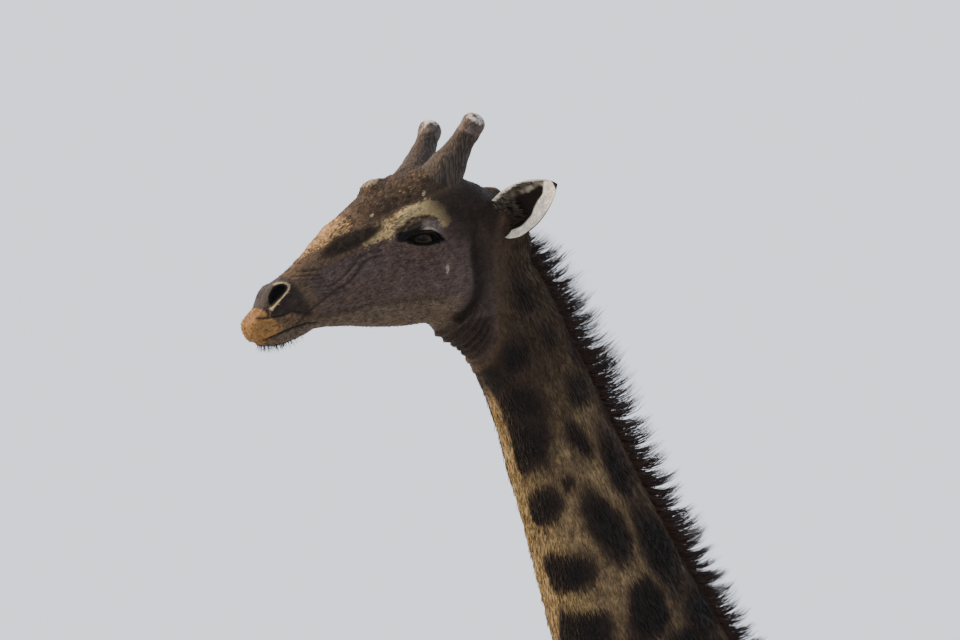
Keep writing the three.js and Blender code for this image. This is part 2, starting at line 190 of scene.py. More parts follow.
# ---- lines and cross sections
@dataclass(frozen=True)
class Line:
    """A straight line in the plane of symmetry that cross sections are laid over."""

    x: float
    z: float
    tilt: float = 0.0
    flip: float = 1.0

    def local(self, p: Array) -> tuple[Array, Array, Array]:
        """Distance along the line, distance across it, and sideways, of each point."""
        along, across = spin(p[:, 0] - self.x, p[:, 2] - self.z, self.tilt)
        return along, self.flip * across, p[:, 1]

    def world(self, t: Array, v: Array, y: Array) -> Array:
        """The points that lie `t` along the line, `v` across it and `y` sideways.

        Args:
            t: Places along the line.
            v: Places across it.
            y: Places sideways.

        Returns:
            Points, in rows of three.
        """
        c, s = math.cos(math.radians(self.tilt)), math.sin(math.radians(self.tilt))
        t, v, y = np.broadcast_arrays(np.asarray(t, float), np.asarray(v, float) * self.flip, np.asarray(y, float))
        return np.stack([self.x + t * c - v * s, y, self.z + t * s + v * c], axis=-1)

    @property
    def direction(self) -> Array:
        """The unit vector along the line."""
        return np.array([math.cos(math.radians(self.tilt)), 0.0, math.sin(math.radians(self.tilt))])


STRIDE_HEIGHT = 1900.0  # the legs swing from here


@dataclass(frozen=True)
class Column:
    """An upright line whose lower end is set back by `stride`, as a leg's is."""

    x: float
    stride: float = 0.0

    def local(self, p: Array) -> tuple[Array, Array, Array]:
        """Height, distance forwards of the column, and sideways, of each point."""
        return p[:, 2], self.x + self.swing(p[:, 2]) - p[:, 0], p[:, 1]

    def world(self, t: Array, v: Array, y: Array) -> Array:
        """The points at height `t`, `v` forwards of the column and `y` sideways."""
        t, v, y = np.broadcast_arrays(np.asarray(t, float), np.asarray(v, float), np.asarray(y, float))
        return np.stack([self.x + self.swing(t) - v, y, t], axis=-1)

    def swing(self, z: Array) -> Array:
        """How far back the column stands at each height."""
        return self.stride * (1.0 - ramp(0.0, STRIDE_HEIGHT, z))


Row = tuple[float, ...]
KEYS = ("top", "bottom", "half", "level", "crown", "keel", "side")


@dataclass(frozen=True)
class Sections:
    """Cross sections given at some places of a line, and smooth between them.

    Each row holds the place, the top and bottom edge, the half width, the share of the depth at which it is widest,
    the roundness of the upper and the lower half, and how far the middle stands out sideways.
    """

    rows: tuple[Row, ...]

    @cached_property
    def table(self) -> tuple[Array, Array]:
        """Places a few millimetres apart, and the seven values at each of them.

        Returns:
            The places, and the values in columns.
        """
        rows = np.array(self.rows, float)
        places, values = rows[:, 0], rows[:, 1:]
        spans = np.diff(places)[:, None]
        chords = np.diff(values, axis=0) / spans
        before, after = chords[:-1], chords[1:]
        inner = np.where(before * after > 0, 2 * before * after / np.where(before + after == 0, 1, before + after), 0)
        slopes = np.concatenate([chords[:1], inner, chords[-1:]])
        dense = np.linspace(places[0], places[-1], max(2, int((places[-1] - places[0]) / 4)))
        i = np.clip(np.searchsorted(places, dense, side="right") - 1, 0, len(places) - 2)
        f = ((dense - places[i]) / spans[i, 0])[:, None]
        curve = values[i] * (1 + 2 * f) * (1 - f) ** 2 + slopes[i] * spans[i] * f * (1 - f) ** 2
        curve += values[i + 1] * f * f * (3 - 2 * f) - slopes[i + 1] * spans[i] * f * f * (1 - f)
        return dense, curve

    def at(self, t: Array) -> dict[str, Array]:
        """The values of the section at each place."""
        dense, curve = self.table
        return {key: np.interp(t, dense, curve[:, k]) for k, key in enumerate(KEYS)}

    @property
    def ends(self) -> tuple[float, float]:
        """The first and last place."""
        return self.rows[0][0], self.rows[-1][0]


def leg_rows(*rows: Row) -> tuple[Row, ...]:
    """Full rows from short ones of height, front, back, half width and side."""
    return tuple((z, front, back, half, 0.5, 2.0, 2.0, side) for z, front, back, half, side in rows)


# ---- forms that know their own distance
@dataclass(frozen=True)
class Loft:
    """A body laid along a line through its cross sections."""

    line: Any
    sections: Sections
    blend: float
    mirror: float = 1.0
    rounding: float = 24.0

    def distance(self, p: Array) -> Array:
        """Signed distance of each point from the surface, nearly right close to it.

        Args:
            p: Points, in rows of three.

        Returns:
            One distance for each point.
        """
        t, v, y = self.line.local(p)
        s = self.sections.at(t)
        middle = s["bottom"] + s["level"] * (s["top"] - s["bottom"])
        above = v > middle
        reach = np.where(above, s["top"] - middle, middle - s["bottom"])
        power = np.where(above, s["crown"], s["keel"])
        u = np.abs(y * self.mirror - s["side"]) / s["half"] + 1e-5
        w = np.abs(v - middle) / reach + 1e-5
        rho = (u**power + w**power) ** (1 / power)
        slope = np.hypot((u / rho) ** (power - 1) / s["half"], (w / rho) ** (power - 1) / reach)
        first, last = self.sections.ends
        end = np.maximum(first - t, t - last)
        return -smooth_min(-(rho - 1) / slope, -end, self.rounding)

    @cached_property
    def box(self) -> tuple[Array, Array]:
        """Lowest and highest corner of the space that the body fills.

        Returns:
            The two corners.
        """
        dense, curve = self.sections.table
        corners = []
        for v in (curve[:, 0], curve[:, 1]):
            for across in (-1, 1):
                corners.append(self.line.world(dense, v, self.mirror * (curve[:, 6] + across * curve[:, 2])))
        points = np.concatenate(corners)
        return points.min(0), points.max(0)


@dataclass(frozen=True)
class Egg:
    """An ellipsoid with its long axis turned up by `tilt` degrees."""

    centre: tuple[float, float, float]
    halves: tuple[float, float, float]
    blend: float
    tilt: float = 0.0

    def distance(self, p: Array) -> Array:
        """Signed distance of each point from the surface, nearly right close to it.

        Args:
            p: Points, in rows of three.

        Returns:
            One distance for each point.
        """
        dx, dy, dz = (p - np.array(self.centre)).T
        along, up = spin(dx, dz, self.tilt)
        q = np.stack([along, dy, up], axis=1) / np.array(self.halves)
        far = np.linalg.norm(q, axis=1) + 1e-6
        return far * (far - 1) / (np.linalg.norm(q / np.array(self.halves), axis=1) + 1e-9)

    @cached_property
    def box(self) -> tuple[Array, Array]:
        """Lowest and highest corner of the space that it fills."""
        reach = max(self.halves)
        return np.array(self.centre) - reach, np.array(self.centre) + reach


@dataclass(frozen=True)
class Spindle:
    """A round body about a straight axis, whose radius is given at some heights."""

    root: tuple[float, float, float]
    axis: tuple[float, float, float]
    profile: tuple[tuple[float, float], ...]
    blend: float

    def distance(self, p: Array) -> Array:
        """Signed distance of each point from the surface, nearly right close to it.

        Args:
            p: Points, in rows of three.

        Returns:
            One distance for each point.
        """
        q = p - np.array(self.root)
        h = q @ np.array(self.axis)
        out = np.linalg.norm(q - h[:, None] * np.array(self.axis), axis=1)
        radii, heights = np.array(self.profile).T
        end = np.maximum(heights[0] - h, h - heights[-1])
        return -smooth_min(-(out - np.interp(h, heights, radii)) * 0.9, -end, 10.0)

    @cached_property
    def box(self) -> tuple[Array, Array]:
        """Lowest and highest corner of the space that it fills.

        Returns:
            The two corners.
        """
        radii, heights = np.array(self.profile).T
        ends = np.array([np.array(self.root) + h * np.array(self.axis) for h in (heights[0], heights[-1])])
        return ends.min(0) - radii.max(), ends.max(0) + radii.max()


Form = Any  # a Loft, an Egg or a Spindle


# ---- sizes of the animal, as in the solids
TRUNK_LINE = Line(0.0, 0.0)
NECK_LINE = Line(-100.0, 2720.0, 113.5, flip=-1.0)  # across is towards the mane
HEAD_LINE = Line(-1641.0, 4690.0, 24.0)
TAIL_LINE = Column(1512.0)

TRUNK = Sections((
    (-425, 2560, 2400, 60, 0.5, 2, 2, 0), (-385, 2680, 2250, 150, 0.5, 2, 2, 0),
    (-270, 2800, 2080, 235, 0.5, 1.9, 2, 0), (-110, 2960, 1930, 285, 0.45, 1.8, 1.9, 0),
    (40, 3095, 1860, 312, 0.42, 1.7, 1.9, 0), (150, 3150, 1830, 330, 0.4, 1.6, 2, 0),
    (330, 3105, 1800, 370, 0.4, 1.7, 2.1, 0), (600, 2985, 1780, 420, 0.4, 1.85, 2.2, 0),
    (850, 2880, 1810, 428, 0.42, 1.95, 2.2, 0), (1060, 2795, 1890, 385, 0.46, 2, 2.1, 0),
    (1240, 2720, 1990, 330, 0.5, 2, 2, 0), (1390, 2630, 2080, 262, 0.52, 2, 2, 0),
    (1475, 2530, 2170, 185, 0.52, 2, 2, 0), (1512, 2430, 2270, 80, 0.5, 2, 2, 0),
))
NECK = Sections((
    (-330, 470, -330, 200, 0.45, 1.7, 2, 0), (0, 455, -340, 215, 0.42, 1.6, 2, 0),
    (350, 405, -295, 195, 0.4, 1.6, 2, 0), (750, 342, -245, 160, 0.4, 1.6, 2, 0),
    (1150, 282, -200, 135, 0.4, 1.65, 2, 0), (1500, 228, -153, 118, 0.4, 1.7, 2, 0),
    (1770, 188, -118, 108, 0.42, 1.8, 2, 0), (2000, 167, -101, 102, 0.45, 1.9, 2, 0),
    (2140, 154, -115, 99, 0.5, 2, 2, 0), (2225, 146, -165, 97, 0.5, 2, 2, 0),
    (2300, 128, -165, 92, 0.5, 2, 2, 0), (2370, 90, -100, 70, 0.5, 2, 2, 0),
))
HEAD = Sections((
    (4, 0, -24, 24, 0.5, 2, 2, 0), (18, 11, -52, 43, 0.5, 2.3, 2.2, 0), (46, 26, -73, 55, 0.5, 2.5, 2.3, 0),
    (72, 43, -83, 59, 0.5, 2.6, 2.2, 0), (92, 60, -85, 60, 0.5, 2.6, 2.2, 0), (120, 68, -85, 59, 0.5, 2.4, 2.1, 0),
    (165, 78, -80, 57, 0.5, 2.1, 2.1, 0), (220, 100, -94, 60, 0.5, 2, 2.1, 0),
    (290, 130, -125, 71, 0.5, 2.1, 2, 0), (360, 148, -152, 88, 0.54, 2.2, 2, 0),
    (430, 170, -174, 106, 0.58, 2.3, 1.9, 0), (500, 176, -184, 119, 0.6, 2.4, 1.8, 0),
    (570, 160, -176, 123, 0.64, 2.6, 1.8, 0), (640, 114, -170, 118, 0.62, 2.5, 1.8, 0),
    (700, 74, -160, 104, 0.58, 2.2, 2, 0), (745, 42, -140, 86, 0.5, 2, 2, 0), (772, 5, -110, 55, 0.5, 2, 2, 0),
))
TAIL = Sections((
    (1540, -38, -62, 12, 0.5, 2, 2, 0), (1750, -30, -60, 15, 0.5, 2, 2, 0), (2050, -20, -60, 20, 0.5, 2, 2, 0),
    (2280, 4, -56, 27, 0.5, 2, 2, 0), (2440, 40, -36, 36, 0.5, 2, 2, 0), (2540, 70, -8, 40, 0.5, 2, 2, 0),
    (2570, 70, 20, 26, 0.5, 2, 2, 0),
))
FORE_LEG = Sections(leg_rows(
    (95, 96, -66, 74, 168), (150, 84, -58, 64, 168), (205, 62, -66, 56, 168), (275, 60, -82, 61, 169),
    (350, 50, -62, 49, 169), (560, 48, -52, 44, 170), (800, 56, -56, 49, 172), (900, 78, -66, 63, 174),
    (985, 88, -70, 71, 175), (1080, 78, -62, 63, 176), (1250, 80, -64, 61, 178), (1500, 100, -92, 76, 182),
    (1720, 126, -140, 96, 187), (1880, 160, -190, 110, 192), (2100, 240, -205, 116, 195),
    (2350, 320, -190, 106, 197), (2620, 225, -230, 102, 190), (2850, 60, -260, 82, 136), (2970, -60, -220, 40, 95),
))
HIND_LEG = Sections(leg_rows(
    (95, 92, -66, 70, 160), (150, 76, -62, 61, 160), (205, 54, -70, 54, 160), (275, 46, -92, 60, 161),
    (350, 34, -78, 49, 161), (560, 24, -82, 43, 163), (800, 18, -104, 48, 165), (930, 22, -138, 58, 167),
    (1030, 40, -158, 62, 168), (1110, 66, -148, 57, 170), (1240, 104, -108, 56, 174), (1430, 176, -84, 78, 182),
    (1620, 262, -96, 106, 190), (1790, 332, -124, 126, 196), (1970, 350, -164, 136, 192),
    (2170, 322, -184, 136, 184), (2380, 240, -150, 112, 165), (2520, 120, -80, 60, 130),
))


class Foot(Enum):
    """The four feet, each with where its leg stands and how far it is set back."""

    LEFT_FORE = (0.0, LEFT, 55.0)
    RIGHT_FORE = (0.0, RIGHT, -55.0)
    LEFT_HIND = (1310.0, LEFT, -70.0)
    RIGHT_HIND = (1310.0, RIGHT, 60.0)

    @property
    def node(self) -> str:
        """The start of the names of this leg's solids."""
        return self.name.lower()

    @property
    def side(self) -> float:
        """The side of the body, as the sign of Y."""
        return self.value[1]

    @property
    def is_fore(self) -> bool:
        """Whether it is a foreleg."""
        return self.value[0] == 0.0

    @property
    def apart(self) -> float:
        """How far the foot stands from the middle of the body."""
        return 168.0 if self.is_fore else 160.0

    @property
    def column(self) -> Column:
        """The upright line of the leg."""
        return Column(self.value[0], self.value[2])


@dataclass(frozen=True)
class EyeSizes:
    """Where an eyeball sits in the head, and its opening between the lids."""

    t: float = 467.0
    v: float = 24.0
    y: float = 102.0
    radius: float = 32.0
    lid: float = 3.6  # thickness of a lid over the ball
    half_length: float = 43.0
    upper: float = 14.0
    lower: float = 12.5
    slant: float = -23.5  # of the opening, from the line of the head

    def centre(self, side: float) -> Array:
        """The middle of the eyeball on one side."""
        return HEAD_LINE.world(self.t, self.v, side * self.y)

    def opening(self, p: Array) -> tuple[Array, Array]:
        """Coordinates of points along and across the opening, from its middle."""
        t, v, _ = HEAD_LINE.local(p)
        return spin(t - self.t, v - self.v, self.slant)

    def edge(self, a: Array) -> tuple[Array, Array]:
        """Height of the upper and the lower lid's edge at each place along the opening.

        Args:
            a: Places along the opening, from its middle.

        Returns:
            Heights of the upper and of the lower edge.
        """
        f = np.clip(np.abs(a) / self.half_length, 0, 1)
        full = (1 - f**2.2) ** 0.8
        tilt = 0.06 * a
        return self.upper * full + tilt * full, -self.lower * full + tilt * full - 1.0

    def inside(self, p: Array) -> Array:
        """How far inside the opening each point lies, in millimetres, negative outside it.

        Args:
            p: Points, in rows of three.

        Returns:
            One number for each point.
        """
        a, b = self.opening(p)
        upper, lower = self.edge(a)
        beyond = np.maximum(np.abs(a) - self.half_length, 0)
        return np.minimum(upper - b, b - lower) * 0.9 - beyond


EYE = EyeSizes()
OSSICONE_PROFILE = (
    (70, 0), (66, 36), (57, 75), (49, 100), (41, 130), (34, 156), (28, 188), (28, 208), (29.5, 223), (29.5, 237),
    (26, 248), (16, 255.5), (0.01, 258),
)


def ossicone_frame(side: float) -> tuple[Array, Array]:
    """Root and axis of the ossicone on one side.

    Args:
        side: The side of the body, as the sign of Y.

    Returns:
        The root and the unit axis.
    """
    lean, splay = math.radians(26.2), math.radians(18.7)
    axis = np.array([math.sin(lean) * math.cos(splay), side * math.sin(splay), math.cos(lean) * math.cos(splay)])
    return np.array([-1190.0, side * 44.0, 4980.0]), axis


@dataclass(frozen=True)
class EarSizes:
    """An ear: its root in the head and the size of its cupped leaf."""

    x: float = -1026.0
    y: float = 92.0
    z: float = 4950.0
    length: float = 200.0
    width: float = 118.0
    thickness: float = 7.0
    cup: float = 42.0

    def frame(self, side: float) -> tuple[Array, Array, Array, Array]:
        """Root of an ear, and directions along it, across its opening and out of its opening.

        Args:
            side: The side of the body, as the sign of Y.

        Returns:
            The root, and the three directions.
        """
        along = unit(np.array([0.42, side * 0.82, 0.4]))
        opening = np.array([-0.72, side * 0.55, -0.1])
        out = unit(opening - along * (opening @ along))
        return np.array([self.x, side * self.y, self.z]), along, -side * np.cross(out, along), out

    def sheet(self, side: float, f: Array, w: Array, lift: Array) -> Array:
        """Points of the leaf: `f` from root to tip, `w` from -1 to 1 across, `lift` out of its inner face.

        Args:
            side: The side of the body, as the sign of Y.
            f: Shares of the length, from root to tip.
            w: Shares of the half width, from -1 to 1.
            lift: How far out of the inner face.

        Returns:
            Points, in rows of three.
        """
        root, along, across, out = self.frame(side)
        half = self.width / 2 * 1.06 * np.sin(np.pi * np.minimum(0.9995, 0.17 + 0.83 * f**0.9)) ** 0.63
        depth = self.cup * np.sin(np.pi * (0.35 + 0.6 * f)) * (1 - 0.55 * f)
        return (
            root + ((1.1 * f - 0.1 + 0.16 * (1 - f) * np.clip(-w, 0, 1) ** 2) * self.length)[..., None] * along
            + (w * half * (1 - 0.12 * (w < 0)) - 15 * (1 - f))[..., None] * across
            + (depth * (w * w - 1) + lift)[..., None] * out
        )


EAR = EarSizes()


# ---- the flesh as one smooth body
class Flesh:
    """All the soft parts of the body, blended into one form that can tell how far a point is from it."""

    def __init__(self) -> None:
        """Lays out the main forms, the legs and the swellings of bone and muscle."""
        self.trunk = Loft(TRUNK_LINE, TRUNK, 60, rounding=40)
        self.neck = Loft(NECK_LINE, NECK, 70)
        self.head = Loft(HEAD_LINE, HEAD, 34, rounding=16)
        self.legs = {foot: Loft(foot.column, FORE_LEG if foot.is_fore else HIND_LEG, 55, foot.side) for foot in Foot}
        self.forms: list[Form] = [self.trunk, self.neck, *self.legs.values(), Loft(TAIL_LINE, TAIL, 40, rounding=10)]
        self.forms += [self.head, *self.skull(), *self.muscles()]

    def skull(self) -> list[Form]:
        """Swellings of the skull, lids over the eyeballs, and the roots of the ossicones and ears.

        Returns:
            The forms.
        """

        def bump(t: float, v: float, y: float, halves: tuple, turn: float, blend: float) -> Egg:
            """An egg placed in the head."""
            return Egg(tuple(HEAD_LINE.world(t, v, y)), halves, blend, HEAD_LINE.tilt + turn)

        made: list[Form] = [bump(444, 162, 0, (38, 34, 27), 8, 14)]
        for side in (LEFT, RIGHT):
            root, axis = ossicone_frame(side)
            ear_place, ear_axis, _, ear_out = EAR.frame(side)
            ear_root = tuple(ear_place - 26 * ear_axis - 22 * ear_out)
            collar = tuple((r - 2.5 - max(0, h - 80) * 0.2, h) for r, h in OSSICONE_PROFILE[:5])
            made += [
                bump(472, 44, side * 80, (90, 50, 52), 4, 26),
                bump(628, 60, side * 60, (50, 56, 40), 0, 30),
                bump(708, 38, side * 36, (36, 29, 27), 0, 16),
                bump(104, 30, side * 30, (36, 26, 26), 30, 20),  # wing of the nostril
                bump(330, -2, side * 62, (120, 20, 22), 4, 40),  # facial crest
                bump(510, -110, side * 84, (80, 32, 64), -24, 34),  # masseter
                Egg(tuple(EYE.centre(side)), (EYE.radius + EYE.lid,) * 3, 15),
                Spindle(tuple(root), tuple(axis), collar, 36),
                Spindle(ear_root, tuple(ear_axis), ((27, 0), (25, 30), (20, 62)), 34),
            ]
        return made

    def muscles(self) -> list[Form]:
        """Broad swellings of shoulder, elbow, hip, thigh, breast and back.

        Returns:
            The forms.
        """
        made: list[Form] = []
        for side in (LEFT, RIGHT):
            made += [
                Egg((-235, side * 178, 2380), (120, 100, 150), 110, 20),  # point of the shoulder
                Egg((60, side * 232, 2790), (70, 78, 270), 110, 18),  # spine of the blade
                Egg((150, side * 215, 2080), (130, 92, 190), 100, -20),  # muscle behind the elbow
                Egg((1080, side * 262, 2640), (66, 54, 46), 90),  # point of the hip
                Egg((1330, side * 168, 2390), (130, 120, 190), 110, -20),  # rump
                Egg((1090, side * 225, 2010), (150, 92, 190), 100, 24),  # thigh before the stifle
                Egg((840, side * 190, 1905), (220, 110, 60), 90, 12),  # flank fold
                Egg((-60, side * 120, 2980), (170, 70, 120), 110, 50),  # root of the neck
            ]
        for foot in Foot:
            for claw in (-54, 54):
                place = (foot.value[0] + foot.value[2] - 12, foot.side * (foot.apart + claw), 136)
                made.append(Egg(place, (80, 35, 25), 30))  # coronet
        return made + [Egg((-268, 0, 2290), (92, 92, 190), 120, -14)]  # keel of the breast

    def distance(self, p: Array, margin: float = 120.0) -> Array:
        """Signed distance of each point from the blended body.

        Args:
            p: Points.
            margin: A form further off than this is left out.

        Returns:
            One distance for each point, which is only a bound where it is larger than the margin.
        """
        total = np.full(len(p), margin)
        for form in self.forms:
            low, high = form.box
            near = np.all((p > low - margin) & (p < high + margin), axis=1)
            if near.any():
                total[near] = smooth_min(total[near], form.distance(p[near]), form.blend)
        return total

    def coat_depth(self, p: Array) -> Array:
        """How far the skin lies below the tips of the coat.

        Args:
            p: Points, in rows of three.

        Returns:
            One depth for each point.
        """
        on_face = ramp(-980, -1100, p[:, 0])
        on_foot = ramp(1300, 500, p[:, 2])
        return 5.5 - 3.3 * on_face - 2.5 * on_foot

    def skin(self, p: Array) -> Array:
        """Signed distance from the skin, which lies inside the body by the coat's depth."""
        return self.distance(p) + self.coat_depth(p)

    def normals(self, p: Array, step: float = 1.2) -> tuple[Array, Array]:
        """Distance from the skin and its outward slope at each point.

        Args:
            p: Points, in rows of three.
            step: How far from the point the slope is taken.

        Returns:
            The distances, and the slopes as vectors.
        """
        corners = np.array([[1, -1, -1], [-1, -1, 1], [-1, 1, -1], [1, 1, 1]], float)
        values = [self.skin(p + step * corner) for corner in corners]
        slope = sum(value[:, None] * corner for value, corner in zip(values, corners)) / (4 * step)
        return sum(values) / 4, slope

    def settle(self, p: Array, rounds: int = 2) -> Array:
        """Moves points onto the skin along its slope.

        Args:
            p: Points, in rows of three.
            rounds: How often they are moved.

        Returns:
            The moved points.
        """
        for _ in range(rounds):
            value, slope = self.normals(p)
            size = np.maximum((slope**2).sum(1), 0.2)
            p = p - np.clip(value / size, -9, 9)[:, None] * slope
        return p


# ---- a mesh from a form
@dataclass
class Surface:
    """Points and triangles of a mesh that is still being made."""

    points: Array
    triangles: Array

    @classmethod
    def around(cls, value: Callable[[Array], Array], low: Array, high: Array, step: float) -> "Surface":
        """Wraps the zero level of a function in a net of even cells.

        Args:
            value: Signed distance of points.
            low: Lowest corner of the space to search.
            high: Highest corner.
            step: Size of a cell.

        Returns:
            The surface, closed and facing outwards.
        """
        block = 8
        counts = (np.ceil((high - low) / step / block).astype(int) + 1) * block
        field_values = np.empty(counts, np.float32)
        coarse = np.stack(np.meshgrid(*[np.arange(n // block) for n in counts], indexing="ij"), -1).reshape(-1, 3)
        middles = low + (coarse * block + (block - 1) / 2) * step
        rough = value(middles)
        whole = field_values.reshape(sum(((n // block, block) for n in counts), ()))
        whole[:] = rough.reshape([n // block for n in counts])[:, None, :, None, :, None]
        cells = np.stack(np.meshgrid(*[np.arange(block)] * 3, indexing="ij"), -1).reshape(-1, 3)
        near = coarse[np.abs(rough) < step * (block * 0.9 + 1)]
        for start in range(0, len(near), BLOCKS_AT_ONCE):
            some = near[start : start + BLOCKS_AT_ONCE]
            at = (some[:, None] * block + cells[None]).reshape(-1, 3)
            field_values[at[:, 0], at[:, 1], at[:, 2]] = value(low + at * step)
        return cls.net(field_values, low, step)

    @classmethod
    def net(cls, values: Array, low: Array, step: float) -> "Surface":
        """Joins the middles of the cells that the surface passes through.

        Args:
            values: Signed distance at each crossing of the grid.
            low: Lowest corner of the grid.
            step: Size of a cell.

        Returns:
            The surface.
        """
        inside = values < 0
        shifts = [(i, j, k) for i in (0, 1) for j in (0, 1) for k in (0, 1)]

        def view(a: Array, s: tuple) -> Array:
            """The grid without its last layer on each axis, moved by a shift."""
            return a[tuple(slice(k, n - 1 + k) for k, n in zip(s, a.shape))]

        some, every = np.zeros_like(view(inside, (0, 0, 0))), np.ones_like(view(inside, (0, 0, 0)))
        for shift in shifts:
            some |= view(inside, shift)
            every &= view(inside, shift)
        cells = np.argwhere(some & ~every)
        total, count = np.zeros((len(cells), 3)), np.zeros(len(cells))
        for a, b in [(a, b) for a in shifts for b in shifts if sum(b) - sum(a) == 1 and all(np.subtract(b, a) >= 0)]:
            va, vb = (values[tuple((cells + s).T)] for s in (a, b))
            crosses = (va < 0) != (vb < 0)
            f = np.where(crosses, va / np.where(crosses, va - vb, 1), 0)
            total += crosses[:, None] * (np.array(a) + f[:, None] * np.subtract(b, a))
            count += crosses
        number = np.full(some.shape, -1, np.int32)
        number[tuple(cells.T)] = np.arange(len(cells))
        quads = []
        for axis in range(3):
            j, k = (axis + 1) % 3, (axis + 2) % 3
            at = np.argwhere(np.diff(inside, axis=axis))
            at = at[(at[:, j] > 0) & (at[:, k] > 0) & (at[:, j] < some.shape[j]) & (at[:, k] < some.shape[k])]
            forwards = inside[tuple(at.T)]
            ring = []
            for dj, dk in ((1, 1), (0, 1), (0, 0), (1, 0)):
                cell = at.copy()
                cell[:, j] -= dj
                cell[:, k] -= dk
                ring.append(number[tuple(cell.T)])
            quad = np.stack(ring, 1)
            quads.append(np.where(forwards[:, None], quad, quad[:, ::-1]))
        quad = np.concatenate(quads)
        points = low + (cells + total / count[:, None]) * step
        across = np.linalg.norm(points[quad[:, 0]] - points[quad[:, 2]], axis=1)
        short = across < np.linalg.norm(points[quad[:, 1]] - points[quad[:, 3]], axis=1)
        first = np.where(short[:, None], quad[:, [0, 1, 2]], quad[:, [1, 2, 3]])
        second = np.where(short[:, None], quad[:, [0, 2, 3]], quad[:, [1, 3, 0]])
        return cls(points, np.concatenate([first, second]))

    def refine(self, size: Callable[[Array], Array]) -> bool:
        """Halves each edge that is longer than the size wanted at its middle.

        Args:
            size: Longest edge wanted at each point.

        Returns:
            Whether any edge was halved.
        """
        tri = self.triangles
        edges = np.concatenate([tri[:, [0, 1]], tri[:, [1, 2]], tri[:, [2, 0]]])
        edges.sort(axis=1)
        key = edges[:, 0].astype(np.int64) * len(self.points) + edges[:, 1]
        unique, index = np.unique(key, return_inverse=True)
        a, b = unique // len(self.points), unique % len(self.points)
        middles = (self.points[a] + self.points[b]) / 2
        long = np.linalg.norm(self.points[a] - self.points[b], axis=1) > size(middles)
        if not long.any():
            return False
        number = np.full(len(unique), -1)
        number[long] = len(self.points) + np.arange(long.sum())
        mids = number[index].reshape(3, -1).T
        self.points = np.concatenate([self.points, middles[long]])
        made = [tri[(mids < 0).all(1)]]
        for turn in range(3):
            v = np.roll(tri, -turn, axis=1)
            m = np.roll(mids, -turn, axis=1)
            one = (m[:, 0] >= 0) & (m[:, 1] < 0) & (m[:, 2] < 0)
            two = (m[:, 0] >= 0) & (m[:, 1] >= 0) & (m[:, 2] < 0)
            v1, m1, v2, m2 = v[one], m[one], v[two], m[two]
            made += [np.stack([v1[:, 0], m1[:, 0], v1[:, 2]], 1), np.stack([m1[:, 0], v1[:, 1], v1[:, 2]], 1)]
            made += [
                np.stack([m2[:, 0], v2[:, 1], m2[:, 1]], 1), np.stack([v2[:, 0], m2[:, 0], m2[:, 1]], 1),
                np.stack([v2[:, 0], m2[:, 1], v2[:, 2]], 1),
            ]
        all_three = (mids >= 0).all(1)
        v, m = tri[all_three], mids[all_three]
        made += [np.stack([v[:, i], m[:, i], m[:, (i + 2) % 3]], 1) for i in range(3)] + [m]
        self.triangles = np.concatenate(made)
        return True

    def neighbours_mean(self, values: Array) -> Array:
        """The mean of each point's values and its neighbours'.

        Args:
            values: Numbers for each point, in columns.

        Returns:
            The means, in the same columns.
        """
        tri = self.triangles
        total, count = values.astype(float).copy(), np.ones(len(values))
        for i, j in ((0, 1), (1, 2), (2, 0), (1, 0), (2, 1), (0, 2)):
            for k in range(values.shape[1]):
                total[:, k] += np.bincount(tri[:, i], values[tri[:, j], k], len(values))
            count += np.bincount(tri[:, i], minlength=len(values))
        return total / count[:, None]

    def point_normals(self) -> Array:
        """The outward direction at each point.

        Returns:
            Unit vectors.
        """
        a, b, c = (self.points[self.triangles[:, i]] for i in range(3))
        face = np.cross(b - a, c - a)
        total = np.stack([
            sum(np.bincount(self.triangles[:, i], face[:, k], len(self.points)) for i in range(3)) for k in range(3)
        ], axis=1)
        return unit(total)


# ---- folds, lids and other relief of the skin
@dataclass(frozen=True)
class Stroke:
    """A groove or ridge drawn on the side of the head, from points along and across its line."""

    points: tuple[tuple[float, float], ...]
    width: float
    height: float  # of a ridge, or the depth of a groove where negative

    def raise_by(self, t: Array, v: Array) -> Array:
        """How much the stroke lifts the skin at each place; it fades out at its two ends.

        Args:
            t: Places along the line.
            v: Places across it.

        Returns:
            One height for each place.
        """
        d, along = polyline_distance(t, v, self.points)
        fade = ramp(0, 0.18, along) * ramp(1, 0.82, along)
        return self.height * np.exp(-((d / self.width) ** 2)) * (0.25 + 0.75 * fade)


